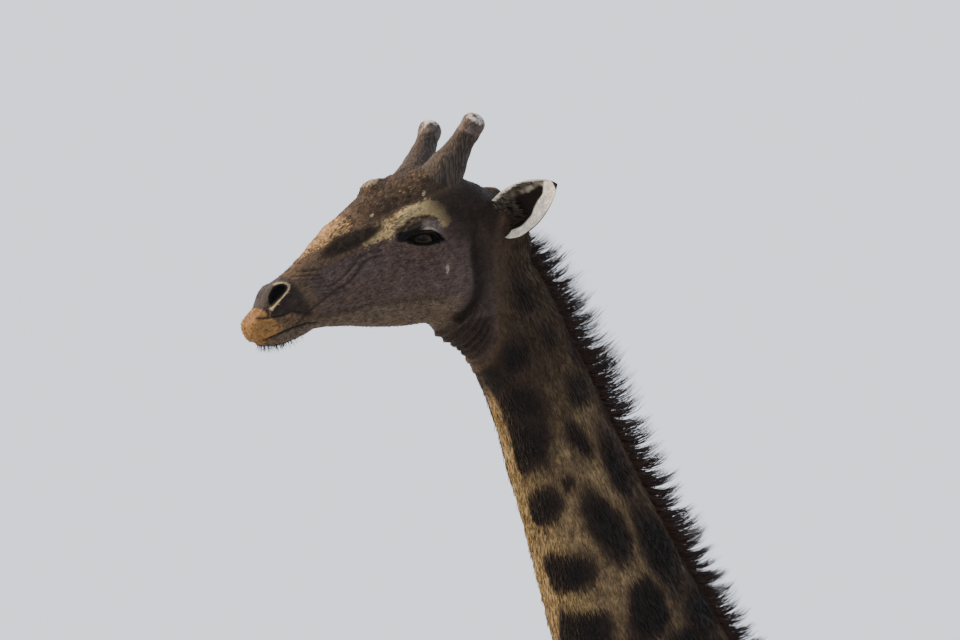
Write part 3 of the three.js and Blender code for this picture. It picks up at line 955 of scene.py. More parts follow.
CHEEK_CREASE = ((112, -45), (150, -32), (187, -19), (231, -7), (264, -2), (290, 11), (313, 25), (335, 30), (364, 24))
MOUTH_LINE = ((-4, -30), (4, -44), (16, -51), (36, -50), (73, -49), (102, -51), (138, -55), (168, -63))
EYE_CREASE = ((404, 46), (427, 64), (454, 78), (476, 76), (495, 68))
STROKES = (
    Stroke(CHEEK_CREASE, 4.4, -3.8),
    Stroke(tuple((t, v + 9) for t, v in CHEEK_CREASE[3:]), 7, 2.0),
    Stroke(tuple((t + 4, v - 9) for t, v in CHEEK_CREASE[2:]), 9, 1.4),
    Stroke(((214, 6), (250, 12), (285, 26), (312, 40), (338, 44), (366, 36)), 4.5, -3.4),
    Stroke(((236, 26), (280, 42), (318, 55), (350, 56)), 5, -1.9),
    *(
        Stroke(((150 + 9 * k, 62 - 13 * k), (182 + 9 * k, 50 - 13 * k), (218 + 8 * k, 38 - 11 * k)), 3.2, -2.8)
        for k in range(6)
    ),
    *(
        Stroke(((152 + 9 * k, 56 - 13 * k), (182 + 9 * k, 44 - 13 * k), (214 + 8 * k, 32 - 11 * k)), 3.6, 1.8)
        for k in range(6)
    ),
    Stroke(((134, 74), (160, 70), (196, 58), (226, 50)), 3.5, -3.2),
    Stroke(((54, -4), (78, -11), (110, -11), (146, -38)), 3.4, -4.4),
    Stroke(((62, 26), (56, 10), (50, -2), (30, 4)), 4.0, -4.6),
    Stroke(((44, 26), (32, 12), (16, -8)), 7.0, 2.6),
    Stroke(((20, 6), (30, -8), (28, -22)), 4.0, -1.8),
    *(Stroke(((84 + 11 * k, -22 - 2 * k), (86 + 13 * k, -44 - k)), 3.0, -2.0) for k in range(6)),
    Stroke(((596, -20), (585, -76), (576, -106), (560, -143), (538, -174), (500, -194)), 15, -8.0),
    Stroke(((548, -70), (545, -110), (530, -145), (504, -168), (460, -172)), 15, 4.0),
    Stroke(((175, -52), (200, -60), (300, -78), (400, -104), (470, -130)), 10, -2.6),
    Stroke(EYE_CREASE, 4.6, -4.6),
    Stroke(((440, 52), (462, 55), (486, 44), (508, 22)), 5.0, 3.0),
    Stroke(((396, 66), (424, 86), (470, 96), (508, 86), (530, 60)), 9.0, 4.0),
    Stroke(((396, 4), (424, -18), (456, -26), (490, -28), (516, -18)), 4.0, -2.6),
    Stroke(((384, -6), (414, -32), (452, -42), (496, -42)), 5.0, -2.0),
    Stroke(((392, 46), (374, 50), (352, 44)), 4.0, -2.6),
    Stroke(((509, -4), (524, -8), (540, -4)), 4.0, -2.8),
    Stroke(((604, -40), (612, 0), (610, 40)), 12, -3.5),
    Stroke(((560, 60), (600, 26), (640, 10), (668, 12)), 12, -3.0),
)
THROAT_FOLDS = (
    ((563, -163), (528, -196), (492, -213), (461, -219)), ((561, -181), (533, -212), (499, -234), (473, -244)),
    ((566, -198), (537, -232), (506, -255), (480, -265)), ((572, -211), (545, -246), (516, -270), (484, -280)),
    ((580, -222), (554, -258), (527, -282), (491, -297)), ((584, -235), (562, -272), (536, -300), (496, -318)),
    ((588, -254), (569, -293), (545, -324), (500, -350)),
)


def throat_folds(t: Array, v: Array) -> Array:
    """How high the folds behind the jaw stand, from -1 in the grooves to 1 on the ridges.

    Args:
        t: Place along the head.
        v: Place across it.

    Returns:
        One number for each place.
    """
    total = np.zeros(len(t))
    near = (t > 420) & (t < 640) & (v < -120) & (v > -400)
    ridges = []
    for points, strength in zip(THROAT_FOLDS, (0.9, 1, 1, 1, 0.9, 0.65, 0.35)):
        d, along = polyline_distance(t[near], v[near], points)
        shape = 1.5 * np.exp(-((d / 5.2) ** 2)) - 0.5 * np.exp(-((d / 17.0) ** 2))
        ridges.append(shape * ramp(0, 0.25, along) * strength)
    total[near] = np.max(ridges, axis=0) + np.min(ridges, axis=0)
    return total


@dataclass(frozen=True)
class Nostril:
    """The slanting comma of a nostril in the side of the nose."""

    t: float = 93.0
    v: float = 39.0
    half_length: float = 33.0
    half_width: float = 12.5
    turn: float = 28.0
    depth: float = 18.0
    rim: float = 4.4

    def outside(self, t: Array, v: Array) -> tuple[Array, Array]:
        """Distance beyond the edge of the opening, negative within, and where its raised rim is.

        Args:
            t: Places along the line.
            v: Places across it.

        Returns:
            The distances, and how much of the rim stands at each place.
        """
        a, b = spin(t - self.t, v - self.v, self.turn)
        b = b + 0.006 * a * a - 1.5
        width = self.half_width * (1 + 0.3 * np.clip(a / self.half_length, -1, 1))
        far = np.hypot(a / self.half_length, b / width)
        rim = np.maximum(ramp(0.5, -0.1, b / width), ramp(0.3, 0.7, a / self.half_length))
        return (far - 1) * width, rim * ramp(-1.35, -1.05, a / self.half_length)


NOSTRIL = Nostril()


class Relief:
    """Everything finer than the forms: folds, the nostrils, the mouth, the lids and the lumps of old skin."""

    def raise_by(self, p: Array, n: Array) -> tuple[Array, Array]:
        """How far the skin stands out at each point.

        Args:
            p: Points of the skin.
            n: Outward directions there.

        Returns:
            Heights along the outward direction, and a further shift as vectors.
        """
        t, v, y = HEAD_LINE.local(p)
        on_head = ramp(-940, -1010, p[:, 0])
        sideways = ramp(0.15, 0.55, np.abs(n[:, 1]))
        height = np.zeros(len(p))
        near = on_head > 0
        for stroke in STROKES:
            height[near] += stroke.raise_by(t[near], v[near]) * sideways[near]
        height += 1.0 * noise(p, 34, 3) * on_head + 0.5 * noise(p, 12, 4) * on_head
        forehead = ramp(50, 110, v) * ramp(170, 300, t) * ramp(660, 600, t) * on_head
        height += forehead * (2.0 * noise(p, 26, 5) + 1.3 * noise(p, 12, 6))
        bridge = ramp(50, 80, v) * ramp(120, 160, t) * ramp(330, 280, t) * on_head
        height += bridge * 1.6 * noise(p, 14, 7)
        height += self.mouth(t, v, y) * on_head
        height += self.body(p, n)
        height += 6.0 * throat_folds(t, v)
        shift = self.nostril(t, v, y) + self.eye(p)
        return height, shift

    def mouth(self, t: Array, v: Array, y: Array) -> Array:
        """The line of the mouth, and the fullness of the lips and chin.

        Args:
            t: Places along the line.
            v: Places across it.
            y: Places sideways.

        Returns:
            One height for each place.
        """
        d, along = polyline_distance(t, v, MOUTH_LINE)
        line = -6.5 * np.exp(-((d / 3.6) ** 2)) * ramp(1.0, 0.86, along) * (0.35 + 0.65 * ramp(0.03, 0.2, along))
        lips = 2.2 * np.exp(-(((d - 10) / 8) ** 2)) * ramp(1, 0.7, along)
        cleft = -4.0 * np.exp(-((y / 3.5) ** 2)) * ramp(40, 4, t) * ramp(-50, -30, v)
        return (line + lips) * ramp(190, 150, t) + cleft

    def body(self, p: Array, n: Array) -> Array:
        """Quiet unevenness of hide over muscle, with folds at the elbow and flank, ribs and tendons.

        Args:
            p: Points, in rows of three.
            n: Outward directions at the points.

        Returns:
            One height for each point.
        """
        x, y, z = p.T
        total = 2.6 * noise(p, 150, 21) + 1.1 * noise(p, 52, 22)
        barrel = ramp(300, 480, x) * ramp(1080, 900, x) * ramp(1950, 2100, z) * ramp(2800, 2600, z)
        total += 2.2 * barrel * np.cos(2 * np.pi * (x + 0.32 * (2500 - z)) / 92)
        on_leg = ramp(1750, 1500, z)
        total += (
            -3.0 * on_leg * np.exp(-((np.abs(np.abs(y) - 172) - 34) / 9) ** 2) * ramp(250, 420, z) * ramp(950, 750, z)
        )
        elbow = np.exp(-((np.hypot(x - 170, z - 1900) - 120) / 16) ** 2) * ramp(120, 260, np.abs(y))
        flank = (
            np.exp(-((np.hypot(x - 1000, z - 2190) - 190) / 18) ** 2) * ramp(980, 860, x) * ramp(200, 300, np.abs(y))
        )
        s, across, _ = NECK_LINE.local(p)
        on_neck = ramp(250, 500, s) * ramp(2150, 1950, s)
        groove = np.exp(-((across + 0.42 * (150 - 0.03 * s)) / 26) ** 2) * ramp(0.2, 0.6, np.abs(n[:, 1]))
        return total * ramp(60, 200, z) - 5 * elbow - 5 * flank - 4.0 * groove * on_neck

    def nostril(self, t: Array, v: Array, y: Array) -> Array:
        """The hollow and the raised rim of each nostril.

        Args:
            t: Places along the line.
            v: Places across it.
            y: Places sideways.

        Returns:
            Shifts as vectors.
        """
        out, rear = NOSTRIL.outside(t, v)
        side = np.sign(y)
        lateral = ramp(16, 30, np.abs(y)) * ramp(-6, 4, v)
        hollow = NOSTRIL.depth * ramp(1.0, -7.0, out)
        rim = NOSTRIL.rim * np.exp(-(((out - 2.6) / 2.6) ** 2)) * (0.2 + 0.8 * rear)
        behind = -2.6 * np.exp(-(((out - 11) / 4) ** 2)) * rear
        inwards = np.stack([0.25 * np.ones_like(y), -side, -0.12 * np.ones_like(y)], 1)
        return inwards * ((hollow - rim - behind) * lateral)[:, None]

    def eye(self, p: Array) -> Array:
        """The opening between the lids, whose floor passes behind the eyeball.

        Args:
            p: Points, in rows of three.

        Returns:
            Shifts as vectors.
        """
        shift = np.zeros_like(p)
        for side in (LEFT, RIGHT):
            from_ball = p - EYE.centre(side)
            far = np.linalg.norm(from_ball, axis=1)
            near = (far < 95) & (p[:, 1] * side > 40)
            q, r = p[near], from_ball[near]
            inside = EYE.inside(q)
            a, b = EYE.opening(q)
            ball = ramp(46, 30, np.hypot(a, b))
            sink = ramp(-0.6, 2.2, inside) * (7.0 + 3.0 * ball)
            lip = 1.5 * np.exp(-(((inside + 2.4) / 2.2) ** 2))
            shift[near] += unit(r) * (lip - sink)[:, None]
        return shift


# ---- making Blender objects
def halved(quad: Array) -> Array:
    """Two triangles for each face of four corners."""
    return np.concatenate([quad[:, [0, 1, 2]], quad[:, [0, 2, 3]]])


def marks(first: Array, second: Array) -> Array:
    """Two numbers for each point, filled up to the four that a mesh carries."""
    return np.stack([first, second, 0 * first, 0 * first + 1], 1)


def one_mark(value: Array) -> Array:
    """One number for each point, in all four places that a mesh carries."""
    return np.stack([value, value, value, value + 1], 1)


def attach(piece: Piece, slot: str, *nodes: str) -> None:
    """Says what a piece rides on and stands for, and reports it.

    Args:
        piece: The piece.
        slot: The slot of its material; not used.
        *nodes: The solids that it stands for.
    """
    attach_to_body(piece, BODY)
    if nodes:
        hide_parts(*nodes)
    log.info("%s: %d triangles", piece.name, len(piece.data.polygons))


def make_object(
    name: str,
    surface: Surface,
    finish: Optional[Material],
    colours: Optional[dict[str, Array]] = None,
    uv: Optional[Array] = None,
) -> Piece:
    """Turns points and triangles into an object of the scene.

    Args:
        name: Name of the piece.
        surface: Its points, in millimetres, and triangles.
        finish: Its material.
        colours: Named sets of four numbers for each point.
        uv: Place of each point on the bake's map.

    Returns:
        The new object.
    """
    mesh = bpy.data.meshes.new(name)
    count, loops = len(surface.triangles), surface.triangles.astype(np.int32).ravel()
    mesh.vertices.add(len(surface.points))
    mesh.vertices.foreach_set("co", (surface.points * MM).astype(np.float32).ravel())
    mesh.loops.add(3 * count)
    mesh.loops.foreach_set("vertex_index", loops)
    mesh.polygons.add(count)
    mesh.polygons.foreach_set("loop_start", np.arange(0, 3 * count, 3, dtype=np.int32))
    mesh.update(calc_edges=True)
    mesh.polygons.foreach_set("use_smooth", np.ones(count, bool))
    for key, values in (colours or {}).items():
        layer = mesh.attributes.new(key, "FLOAT_COLOR", "POINT")
        layer.data.foreach_set("color", values.astype(np.float32).ravel())
    if uv is not None:
        layer = mesh.uv_layers.new(name="OFBake")
        layer.data.foreach_set("uv", uv[loops].astype(np.float32).ravel())
    if finish:
        mesh.materials.append(finish)
    made = bpy.data.objects.new(name, mesh)
    bpy.context.scene.collection.objects.link(made)
    return made


# ---- markings of skin and coat
@dataclass(frozen=True)
class Oval:
    """A soft-edged oval area, given by its middle, half sizes and turn."""

    t: float
    v: float
    half_length: float
    half_height: float
    turn: float = 0.0
    soft: float = 0.35

    def reach(self, t: Array, v: Array) -> Array:
        """Distance from the middle as a share of the way to the edge."""
        a, b = spin(t - self.t, v - self.v, self.turn)
        return np.hypot(a / self.half_length, b / self.half_height)

    def share(self, t: Array, v: Array) -> Array:
        """One inside the oval, falling to zero outside it."""
        return ramp(1 + self.soft, 1 - self.soft, self.reach(t, v))


# place along the neck, place across it, half length and half width of the patches of its left side
LEFT_NECK_PATCHES = (
    (2110, -36, 46, 42, 8), (2225, 46, 56, 24, -6), (2112, 66, 30, 22, 0), (1973, 100, 46, 32, 12),
    (1900, -84, 66, 40, 20),
    (1992, -62, 56, 42, -30), (1853, 40, 56, 27, -8), (2070, -98, 70, 34, 0), (1760, 124, 90, 34, -6),
    (1731, -100, 42, 36, 0),
    (1640, 24, 94, 42, -10), (1534, 145, 112, 44, -8), (1580, -114, 44, 58, 8), (1415, 40, 76, 56, 0),
    (1425, -136, 62, 66, 6),
    (1323, 205, 90, 46, 0), (1770, -30, 20, 16, 0), (1905, 172, 60, 26, 0), (2060, 140, 56, 22, 0),
)


@dataclass
class Patches:
    """The dark patches of the coat, each grown round a centre until it nears its neighbours."""

    centres: Array = field(default_factory=lambda: np.zeros((0, 3)))
    radii: Array = field(default_factory=lambda: np.zeros(0))
    tones: Array = field(default_factory=lambda: np.zeros(0))

    @staticmethod
    def squeeze(p: Array) -> Array:
        """Points squeezed a little along the neck, so that patches come out longer that way."""
        along = NECK_LINE.direction
        return p - 0.26 * (p @ along)[:, None] * along

    @staticmethod
    def spacing(p: Array) -> Array:
        """How far apart the centres of patches stand at each place.

        Args:
            p: Points, in rows of three.

        Returns:
            One distance for each point.
        """
        s, _, _ = NECK_LINE.local(p)
        on_neck = ramp(150, 500, s)
        body = 235 + (ramp(2200, 1400, s) * 75 + 112 - 235) * on_neck
        z = p[:, 2]
        leg = np.interp(z, [0, 250, 600, 1000, 1500, 1950], [46, 56, 72, 92, 132, 200])
        return np.where(z < 1950, np.minimum(leg, body), body)

    def sow(self, points: Array, seed: int) -> None:
        """Scatters centres over the skin that keep their distance from each other.

        Args:
            points: Points of the skin to choose from.
            seed: Fixes the choice.
        """
        rng = np.random.default_rng(seed)
        s, _, _ = NECK_LINE.local(points)
        pool = points[(s < 2200) & (points[:, 0] > -1010) & (points[:, 2] > 150)]
        pool = pool[rng.permutation(len(pool))[:PATCH_POOL]]
        chosen, kept = [np.full(3, 1e6)], []
        for p, q, gap in zip(pool, self.squeeze(pool), self.spacing(pool)):
            if np.min(np.sum((np.array(chosen) - q) ** 2, axis=1)) > (0.86 * gap) ** 2:
                chosen.append(q)
                kept.append(p)
        self.centres = np.array(chosen[1:])
        self.radii = 0.5 * self.spacing(np.array(kept)) * rng.uniform(0.88, 1.14, len(kept))
        self.tones = rng.uniform(0, 1, len(kept))

    def border(self, p: Array) -> tuple[Array, Array]:
        """How far inside a patch each point is, and the tone of that patch.

        Args:
            p: Points of the skin.

        Returns:
            Distances in millimetres, negative between patches, and tones from 0 to 1.
        """
        moved = p + noise_vectors(p, 88, 31) * 17 + noise_vectors(p, 30, 41) * 6
        q = self.squeeze(moved)
        first, second = np.full(len(p), 1e9), np.full(len(p), 1e9)
        owner = np.zeros(len(p), int)
        for start in range(0, len(p), POINTS_AT_ONCE):
            part = slice(start, start + POINTS_AT_ONCE)
            flat = q[part].astype(np.float32)
            far = (
                (flat**2).sum(1)[:, None] + (self.centres**2).sum(1)[None]
                - 2 * flat @ self.centres.T.astype(np.float32)
            )
            scaled = np.sqrt(np.maximum(far, 0)) / self.radii[None]
            order = np.argpartition(scaled, 1, axis=1)[:, :2]
            pair = np.take_along_axis(scaled, order, 1)
            swap = pair[:, 0] > pair[:, 1]
            owner[part] = np.where(swap, order[:, 1], order[:, 0])
            first[part], second[part] = pair.min(1), pair.max(1)
        radius = self.radii[owner]
        gap = np.clip(radius * 0.42, 11, 26)
        inside = np.minimum((second - first) * radius / 2 - gap / 2, (1.12 - first) * radius)
        s, across, y = NECK_LINE.local(moved)
        left = ramp(1330, 1400, s + 0.25 * across) * ramp(-6, -30, y)
        ovals = [Oval(s0, v0, 1.14 * long, 1.26 * wide, turn) for s0, v0, long, wide, turn in LEFT_NECK_PATCHES]
        given = np.max([(1 - o.reach(s, across)) * min(o.half_length, o.half_height) for o in ovals], axis=0)
        inside = inside + (given - inside) * left
        s, across, y = NECK_LINE.local(p)
        belly = ramp(2050, 1830, p[:, 2]) * ramp(250, 120, np.abs(y)) * ramp(-200, 100, p[:, 0])
        feet = ramp(430, 170, p[:, 2])
        nape = ramp(2120, 2260, s) * (1 - left)
        return inside - 60 * belly - 26 * feet - 70 * nape, self.tones[owner]


BROW = ((345, 82), (400, 82), (460, 90), (508, 88), (530, 68), (534, 44))
BEHIND_JAW = ((594, -30), (583, -76), (574, -106), (558, -143), (536, -172), (506, -189))
OCHRE_EDGE = ((0, 44), (44, 36), (52, 14), (58, -6), (87, -14), (110, -9), (146, -36), (175, -56))


@dataclass
class Markings:
    """Everything that the finish of skin and coat reads at a place: six sets of four numbers."""

    patches: Patches

    def read(self, p: Array) -> dict[str, Array]:
        """The sets of numbers for points of the skin.

        Args:
            p: Points of the skin.

        Returns:
            The named sets, each with four columns.
        """
        s, across, y = NECK_LINE.local(p)
        section = NECK.at(s)
        head = ramp(-985, -1045, p[:, 0]) * ramp(4300, 4420, p[:, 2])
        head = head * ramp(4480, 4580, p[:, 2] + 0.5 * (-1200 - p[:, 0]))
        neck = ramp(120, 420, s) * (1 - head)
        leg = ramp(1950, 1650, p[:, 2]) * (1 - head)
        border, tone = self.patches.border(p)
        edge = ramp(0.34, 0.1, np.abs(y) / (section["half"] + 1)) * (across < 0) * ramp(2080, 1960, s)
        border = border - 120 * head - 60 * edge * ramp(300, 700, s)
        pale = ramp(1980, 1820, p[:, 2]) * ramp(260, 120, np.abs(y)) * ramp(-150, 100, p[:, 0])
        pale = np.maximum(pale, ramp(1250, 300, p[:, 2]) * 0.85)
        # darker towards the head, the upper neck's own brown; and towards the mane, partly its own brown and partly
        # painted shade
        dark = np.maximum(ramp(1640, 2080, s - 0.9 * across), 0.85 * ramp(0, 150, across - 0.02 * (2000 - s)))
        # painted sunlight on the front of the neck, strongest along its front edge
        sunlit_front = np.maximum(ramp(-10, -120, across) * ramp(2150, 1700, s), 1.3 * edge)
        mark = np.stack([border / 100, tone, pale, dark * ramp(700, 1300, s) * (1 - 0.9 * edge)], 1)
        frames = np.stack([head, neck, leg, sunlit_front * neck], 1)
        return {"mark": mark, "frames": frames, **self.face(p, head)}

    def face(self, p: Array, head: Array) -> dict[str, Array]:
        """The coloured areas of the face.

        Args:
            p: Points of the skin.
            head: How much each belongs to the head.

        Returns:
            Four named sets with four columns each.
        """
        t, v, y = HEAD_LINE.local(p)
        side = np.abs(y)
        lateral = ramp(14, 34, side)
        edge_t, edge_v = np.array(OCHRE_EDGE).T
        below = np.interp(t, edge_t, edge_v) - v
        mouth_t, mouth_v = np.array(MOUTH_LINE).T
        lip = ramp(3, -6, v - np.interp(t, mouth_t, mouth_v) + 10 * ramp(40, 10, t)) * ramp(200, 140, t)
        muzzle = ramp(-5, 5, below) * (1 - 0.72 * ramp(32, 84, t)) * ramp(176, 140, t) * (1 - 0.8 * lip)
        nose = ramp(5, -5, below) * ramp(180, 118, t + 0.2 * (v - 20)) * (1 - lip)
        out, rear = NOSTRIL.outside(t, v)
        rim = np.exp(-(((out - 2.1) / 1.9) ** 4)) * rear * lateral
        # painted shade inside the nostril
        hole = ramp(0.5, -3.5, out) * lateral
        band = Oval(316, 82, 76, 19, 4, 0.55).share(t, v) * ramp(12, 30, side)
        far, _ = polyline_distance(t, v, BROW)
        brow = (
            ramp(32, 9, far) * ramp(40, 66, side) * (0.66 + 0.34 * ramp(420, 510, t))
            + 0.5 * Oval(368, 56, 40, 20).share(t, v) * lateral
        )
        jaw_line = np.interp(t, [100, 175, 200, 300, 400, 480], [-50, -53, -60, -77, -100, -128])
        jaw = np.maximum(ramp(9, -9, v - jaw_line) * ramp(540, 460, t) * ramp(110, 150, t), lip)
        # top edge of the nose: warm tan, partly its own colour and partly painted sunlight
        bridge = 0.86 * ramp(66, 92, v - 0.12 * (t - 150)) * ramp(112, 134, t) * ramp(420, 300, t)
        cheek = ramp(64, 24, v - 0.03 * t) * ramp(150, 210, t) * ramp(650, 560, t) * lateral
        crown = ramp(96, 126, v) * ramp(330, 410, t) + ramp(590, 660, t) * ramp(-60, 10, v)
        a, b = EYE.opening(p)
        inside = EYE.inside(p)
        by_eye = ramp(60, 80, side)
        over = b - EYE.edge(a)[0]
        lid = ramp(32, 16, np.hypot((a - 12) * 0.6, b - 18)) * by_eye * ramp(-22, 4, a)
        # pale fold over the rear half of the upper lid, partly its own colour and partly a painted highlight
        pale_lid_fold_and_highlight = ramp(2, 4.5, over) * ramp(13, 9.5, over) * ramp(-14, 2, a) * ramp(48, 38, a) * by_eye
        # painted shade in the hollow under the brow, over the front half of the upper lid
        shade_over_lid = ramp(1, 6, over) * ramp(30, 21, over) * ramp(-50, -38, a) * ramp(6, -10, a) * by_eye
        socket = ramp(-7.0, -2.0, inside)
        # painted shadow of the lashes over the front corner of the eye
        front = ramp(-2, -24, a) * ramp(-78, -52, a) * ramp(17, 8, np.abs(b - 4 - 0.16 * (a + 40)))
        rear_corner = np.exp(-(((b + 2) / 6) ** 2)) * ramp(70, 50, a) * ramp(28, 42, a)
        socket = np.maximum.reduce([socket, front, rear_corner]) * by_eye
        scar = sum(
            Oval(*place).share(t, v) for place in ((500, -68, 12, 4, 60), (515, 120, 8, 3.6, 40), (388, 118, 6, 3, 20))
        )
        knob = Oval(446, 184, 22, 7, 8).share(t, v) * ramp(34, 20, side)
        # painted shade in the grooves of the folds, the line of the mouth and the folds of the throat
        groove = np.zeros(len(t))
        near = head > 0
        for stroke in STROKES:
            if stroke.height < -1.8:
                d, _ = polyline_distance(t[near], v[near], stroke.points)
                depth = np.exp(-((d / (stroke.width * 0.9)) ** 2)) * min(1.0, -stroke.height / 5)
                groove[near] = np.maximum(groove[near], depth)
        d, _ = polyline_distance(t, v, MOUTH_LINE)
        groove = np.maximum(groove, np.exp(-((d / 3.4) ** 2))) * lateral
        groove = np.maximum(groove, np.clip(-2.2 * throat_folds(t, v), 0, 1))
        # painted shade in the hollow behind the jaw, towards the back of the head and under the jaw
        d, _ = polyline_distance(t, v, BEHIND_JAW)
        hollow = np.exp(-((d / 24) ** 2)) * ramp(20, -110, v) + 0.85 * ramp(545, 640, t - 0.25 * (v + 100))
        hollow = np.maximum(hollow, ramp(-185, -225, v) * ramp(420, 470, t) * 0.8)
        temple = ramp(478, 590, t + 0.3 * v) * ramp(-90, 10, v) * ramp(140, 80, v)
        nothing = np.zeros(len(t))
        sets = {
            "face_a": (muzzle, nose, rim, np.maximum(band, 0.8 * shade_over_lid)),
            "face_b": (brow, jaw, lid, bridge),
            "face_c": (nothing, nothing, np.maximum.reduce([scar * lateral, 0.8 * knob, 0.7 * pale_lid_fold_and_highlight]), groove),
            "face_d": (cheek, crown, np.maximum(socket, hole), np.maximum(hollow, 0.9 * temple)),
        }
        return {name: np.stack([np.clip(c, 0, 1) * head for c in columns], 1) for name, columns in sets.items()}


# ---- finishes
def linear(code: str) -> tuple[float, float, float, float]:
    """The linear colour of an sRGB hex value."""
    parts = [int(code[i : i + 2], 16) / 255 for i in (1, 3, 5)]
    return (*[c / 12.92 if c <= 0.04045 else ((c + 0.055) / 1.055) ** 2.4 for c in parts], 1.0)


def add(tree: Tree, kind: str, sockets: Optional[dict] = None, **settings: Any) -> Any:
    """Adds a node with its settings, and fills or links its sockets.

    Args:
        tree: The material's node tree.
        kind: Blender's name for the node.
        sockets: Values or outputs for the inputs, by name or number.
        settings: Properties of the node; `out` names the output that is given back, the first if left out.

    Returns:
        One output of the node, or the node itself where it has none.
    """
    out = settings.pop("out", 0)
    node = tree.nodes.new(kind)
    for key, value in settings.items():
        setattr(node, key, value)
    for key, value in (sockets or {}).items():
        if isinstance(value, bpy.types.NodeSocket):
            tree.links.new(value, node.inputs[key])
        else:
            node.inputs[key].default_value = value
    return node.outputs[out] if len(node.outputs) else node


def new_material(name: str) -> tuple[Material, Tree]:
    """An empty material and its tree.

    Args:
        name: Name of the material.

    Returns:
        The material and its tree.
    """
    made = bpy.data.materials.new(name)
    made.use_nodes = True
    made.node_tree.nodes.clear()
    return made, made.node_tree


def read_layer(tree: Tree, name: str) -> list:
    """The four numbers of a set that the mesh carries.

    Args:
        tree: The material's node tree.
        name: Name of the set.

    Returns:
        The outputs of the four numbers.
    """
    colour = add(tree, "ShaderNodeAttribute", attribute_name=name, out="Color")
    red = add(tree, "ShaderNodeSeparateColor", {0: colour})
    return [*red.node.outputs[:3], colour.node.outputs["Alpha"]]


RGB = {"data_type": "RGBA", "out": 2}  # settings of a node that mixes colours


@dataclass(frozen=True)
class Zone:
    """One area of colour: the number that says where it is, its colour, and how its edge breaks up and fades."""

    layer: str
    channel: int
    colour: str
    ragged: float = 0.4
    low: float = 0.2
    high: float = 0.8
    strength: float = 1.0


ZONES = (
    Zone("mark", 2, "#86775b", 0.3, 0.2, 0.9),  # paler hair of belly and shanks
    Zone("mark", 3, "#2b2018", 0.5, 0.05, 1.1, 0.92),  # brown upper neck, and darker along the mane, partly its own brown and partly painted shade
    Zone("frames", 3, "#84714c", 0.4, 0.3, 1.2, 0.85),  # painted sunlight on the front of the neck, strongest along its front edge
    Zone("mark", 0, "#2c211a", 0.34, -0.13, 0.13),  # patches
    Zone("mark", 0, "#16120f", 0.6, 0.02, 0.34),  # and their darker middles
    Zone("frames", 0, "#4b3d30", 0.4),  # ground colour of the face
    Zone("face_d", 1, "#30261d", 0.9, 0.25, 0.75),  # crown and poll
    Zone("face_d", 1, "#6b5a40", 3.0, 1.0, 1.6, 0.8),  # tan flecks in them
    Zone("face_d", 0, "#463a36", 0.3, 0.1, 0.9),  # thin-haired mauve cheek
    Zone("face_b", 1, "#50453a", 0.6),  # tan-grey under the jaw
    Zone("face_b", 3, "#967850", 2.4, 0.66, 0.98),  # warm tan bridge of the nose in broken flecks, its orange top edge partly painted sunlight
    Zone("face_b", 0, "#96845f", 1.9, 0.45, 0.95),  # brow
    Zone("face_b", 0, "#4f4232", 3.4, 0.95, 1.4, 0.75),  # dark flecks in it
    Zone("face_b", 0, "#b3a27e", 3.4, 1.35, 1.6, 0.7),  # and pale ones
    Zone("face_a", 3, "#231b14", 0.6, 0.15, 0.85),  # dark band before the eye, and painted shade in the hollow over the front of the upper lid
    Zone("face_d", 3, "#231b17", 0.9, 0.1, 1.0),  # dark temple, and painted shade in the hollow behind and under the jaw
    Zone("face_a", 1, "#2a221e", 0.6, 0.25, 0.75),  # bare skin of the nose
    Zone("face_a", 0, "#785a35", 1.7, 0.26, 0.8),  # ochre muzzle
    Zone("face_a", 0, "#473321", 3.4, 1.05, 1.5, 0.6),  # dark hairs in it
    Zone("face_a", 0, "#9c8763", 3.4, 1.4, 1.7, 0.6),  # pale hairs in it
    Zone("face_b", 2, "#584e49", 0.2, 0.1, 0.9),  # lids
    Zone("face_c", 3, "#1a1410", 0.2, 0.1, 0.95, 0.8),  # painted shade in the depth of the folds, creases and mouth line
    Zone("face_c", 2, "#877966", 0.6, 0.2, 0.8, 0.8),  # old scars, the pale top of the median bump, and the pale fold over the upper lid, partly a painted highlight
    Zone("face_a", 2, "#968866", 0.3, 0.25, 0.75),  # pale rim of the nostril
    Zone("face_c", 0, "#f3e9d4", 0.25, 0.2, 0.8),  # pale hair inside the ear
    Zone("face_c", 1, "#1b1411", 0.5, 0.15, 0.85),  # dark rim of the ear, and painted shade in the hollow of its cup
    Zone("face_d", 2, "#090707", 0.1),  # dark lid edges, painted shadow of the lashes at the front corner of the eye, and painted shade inside the nostril
)


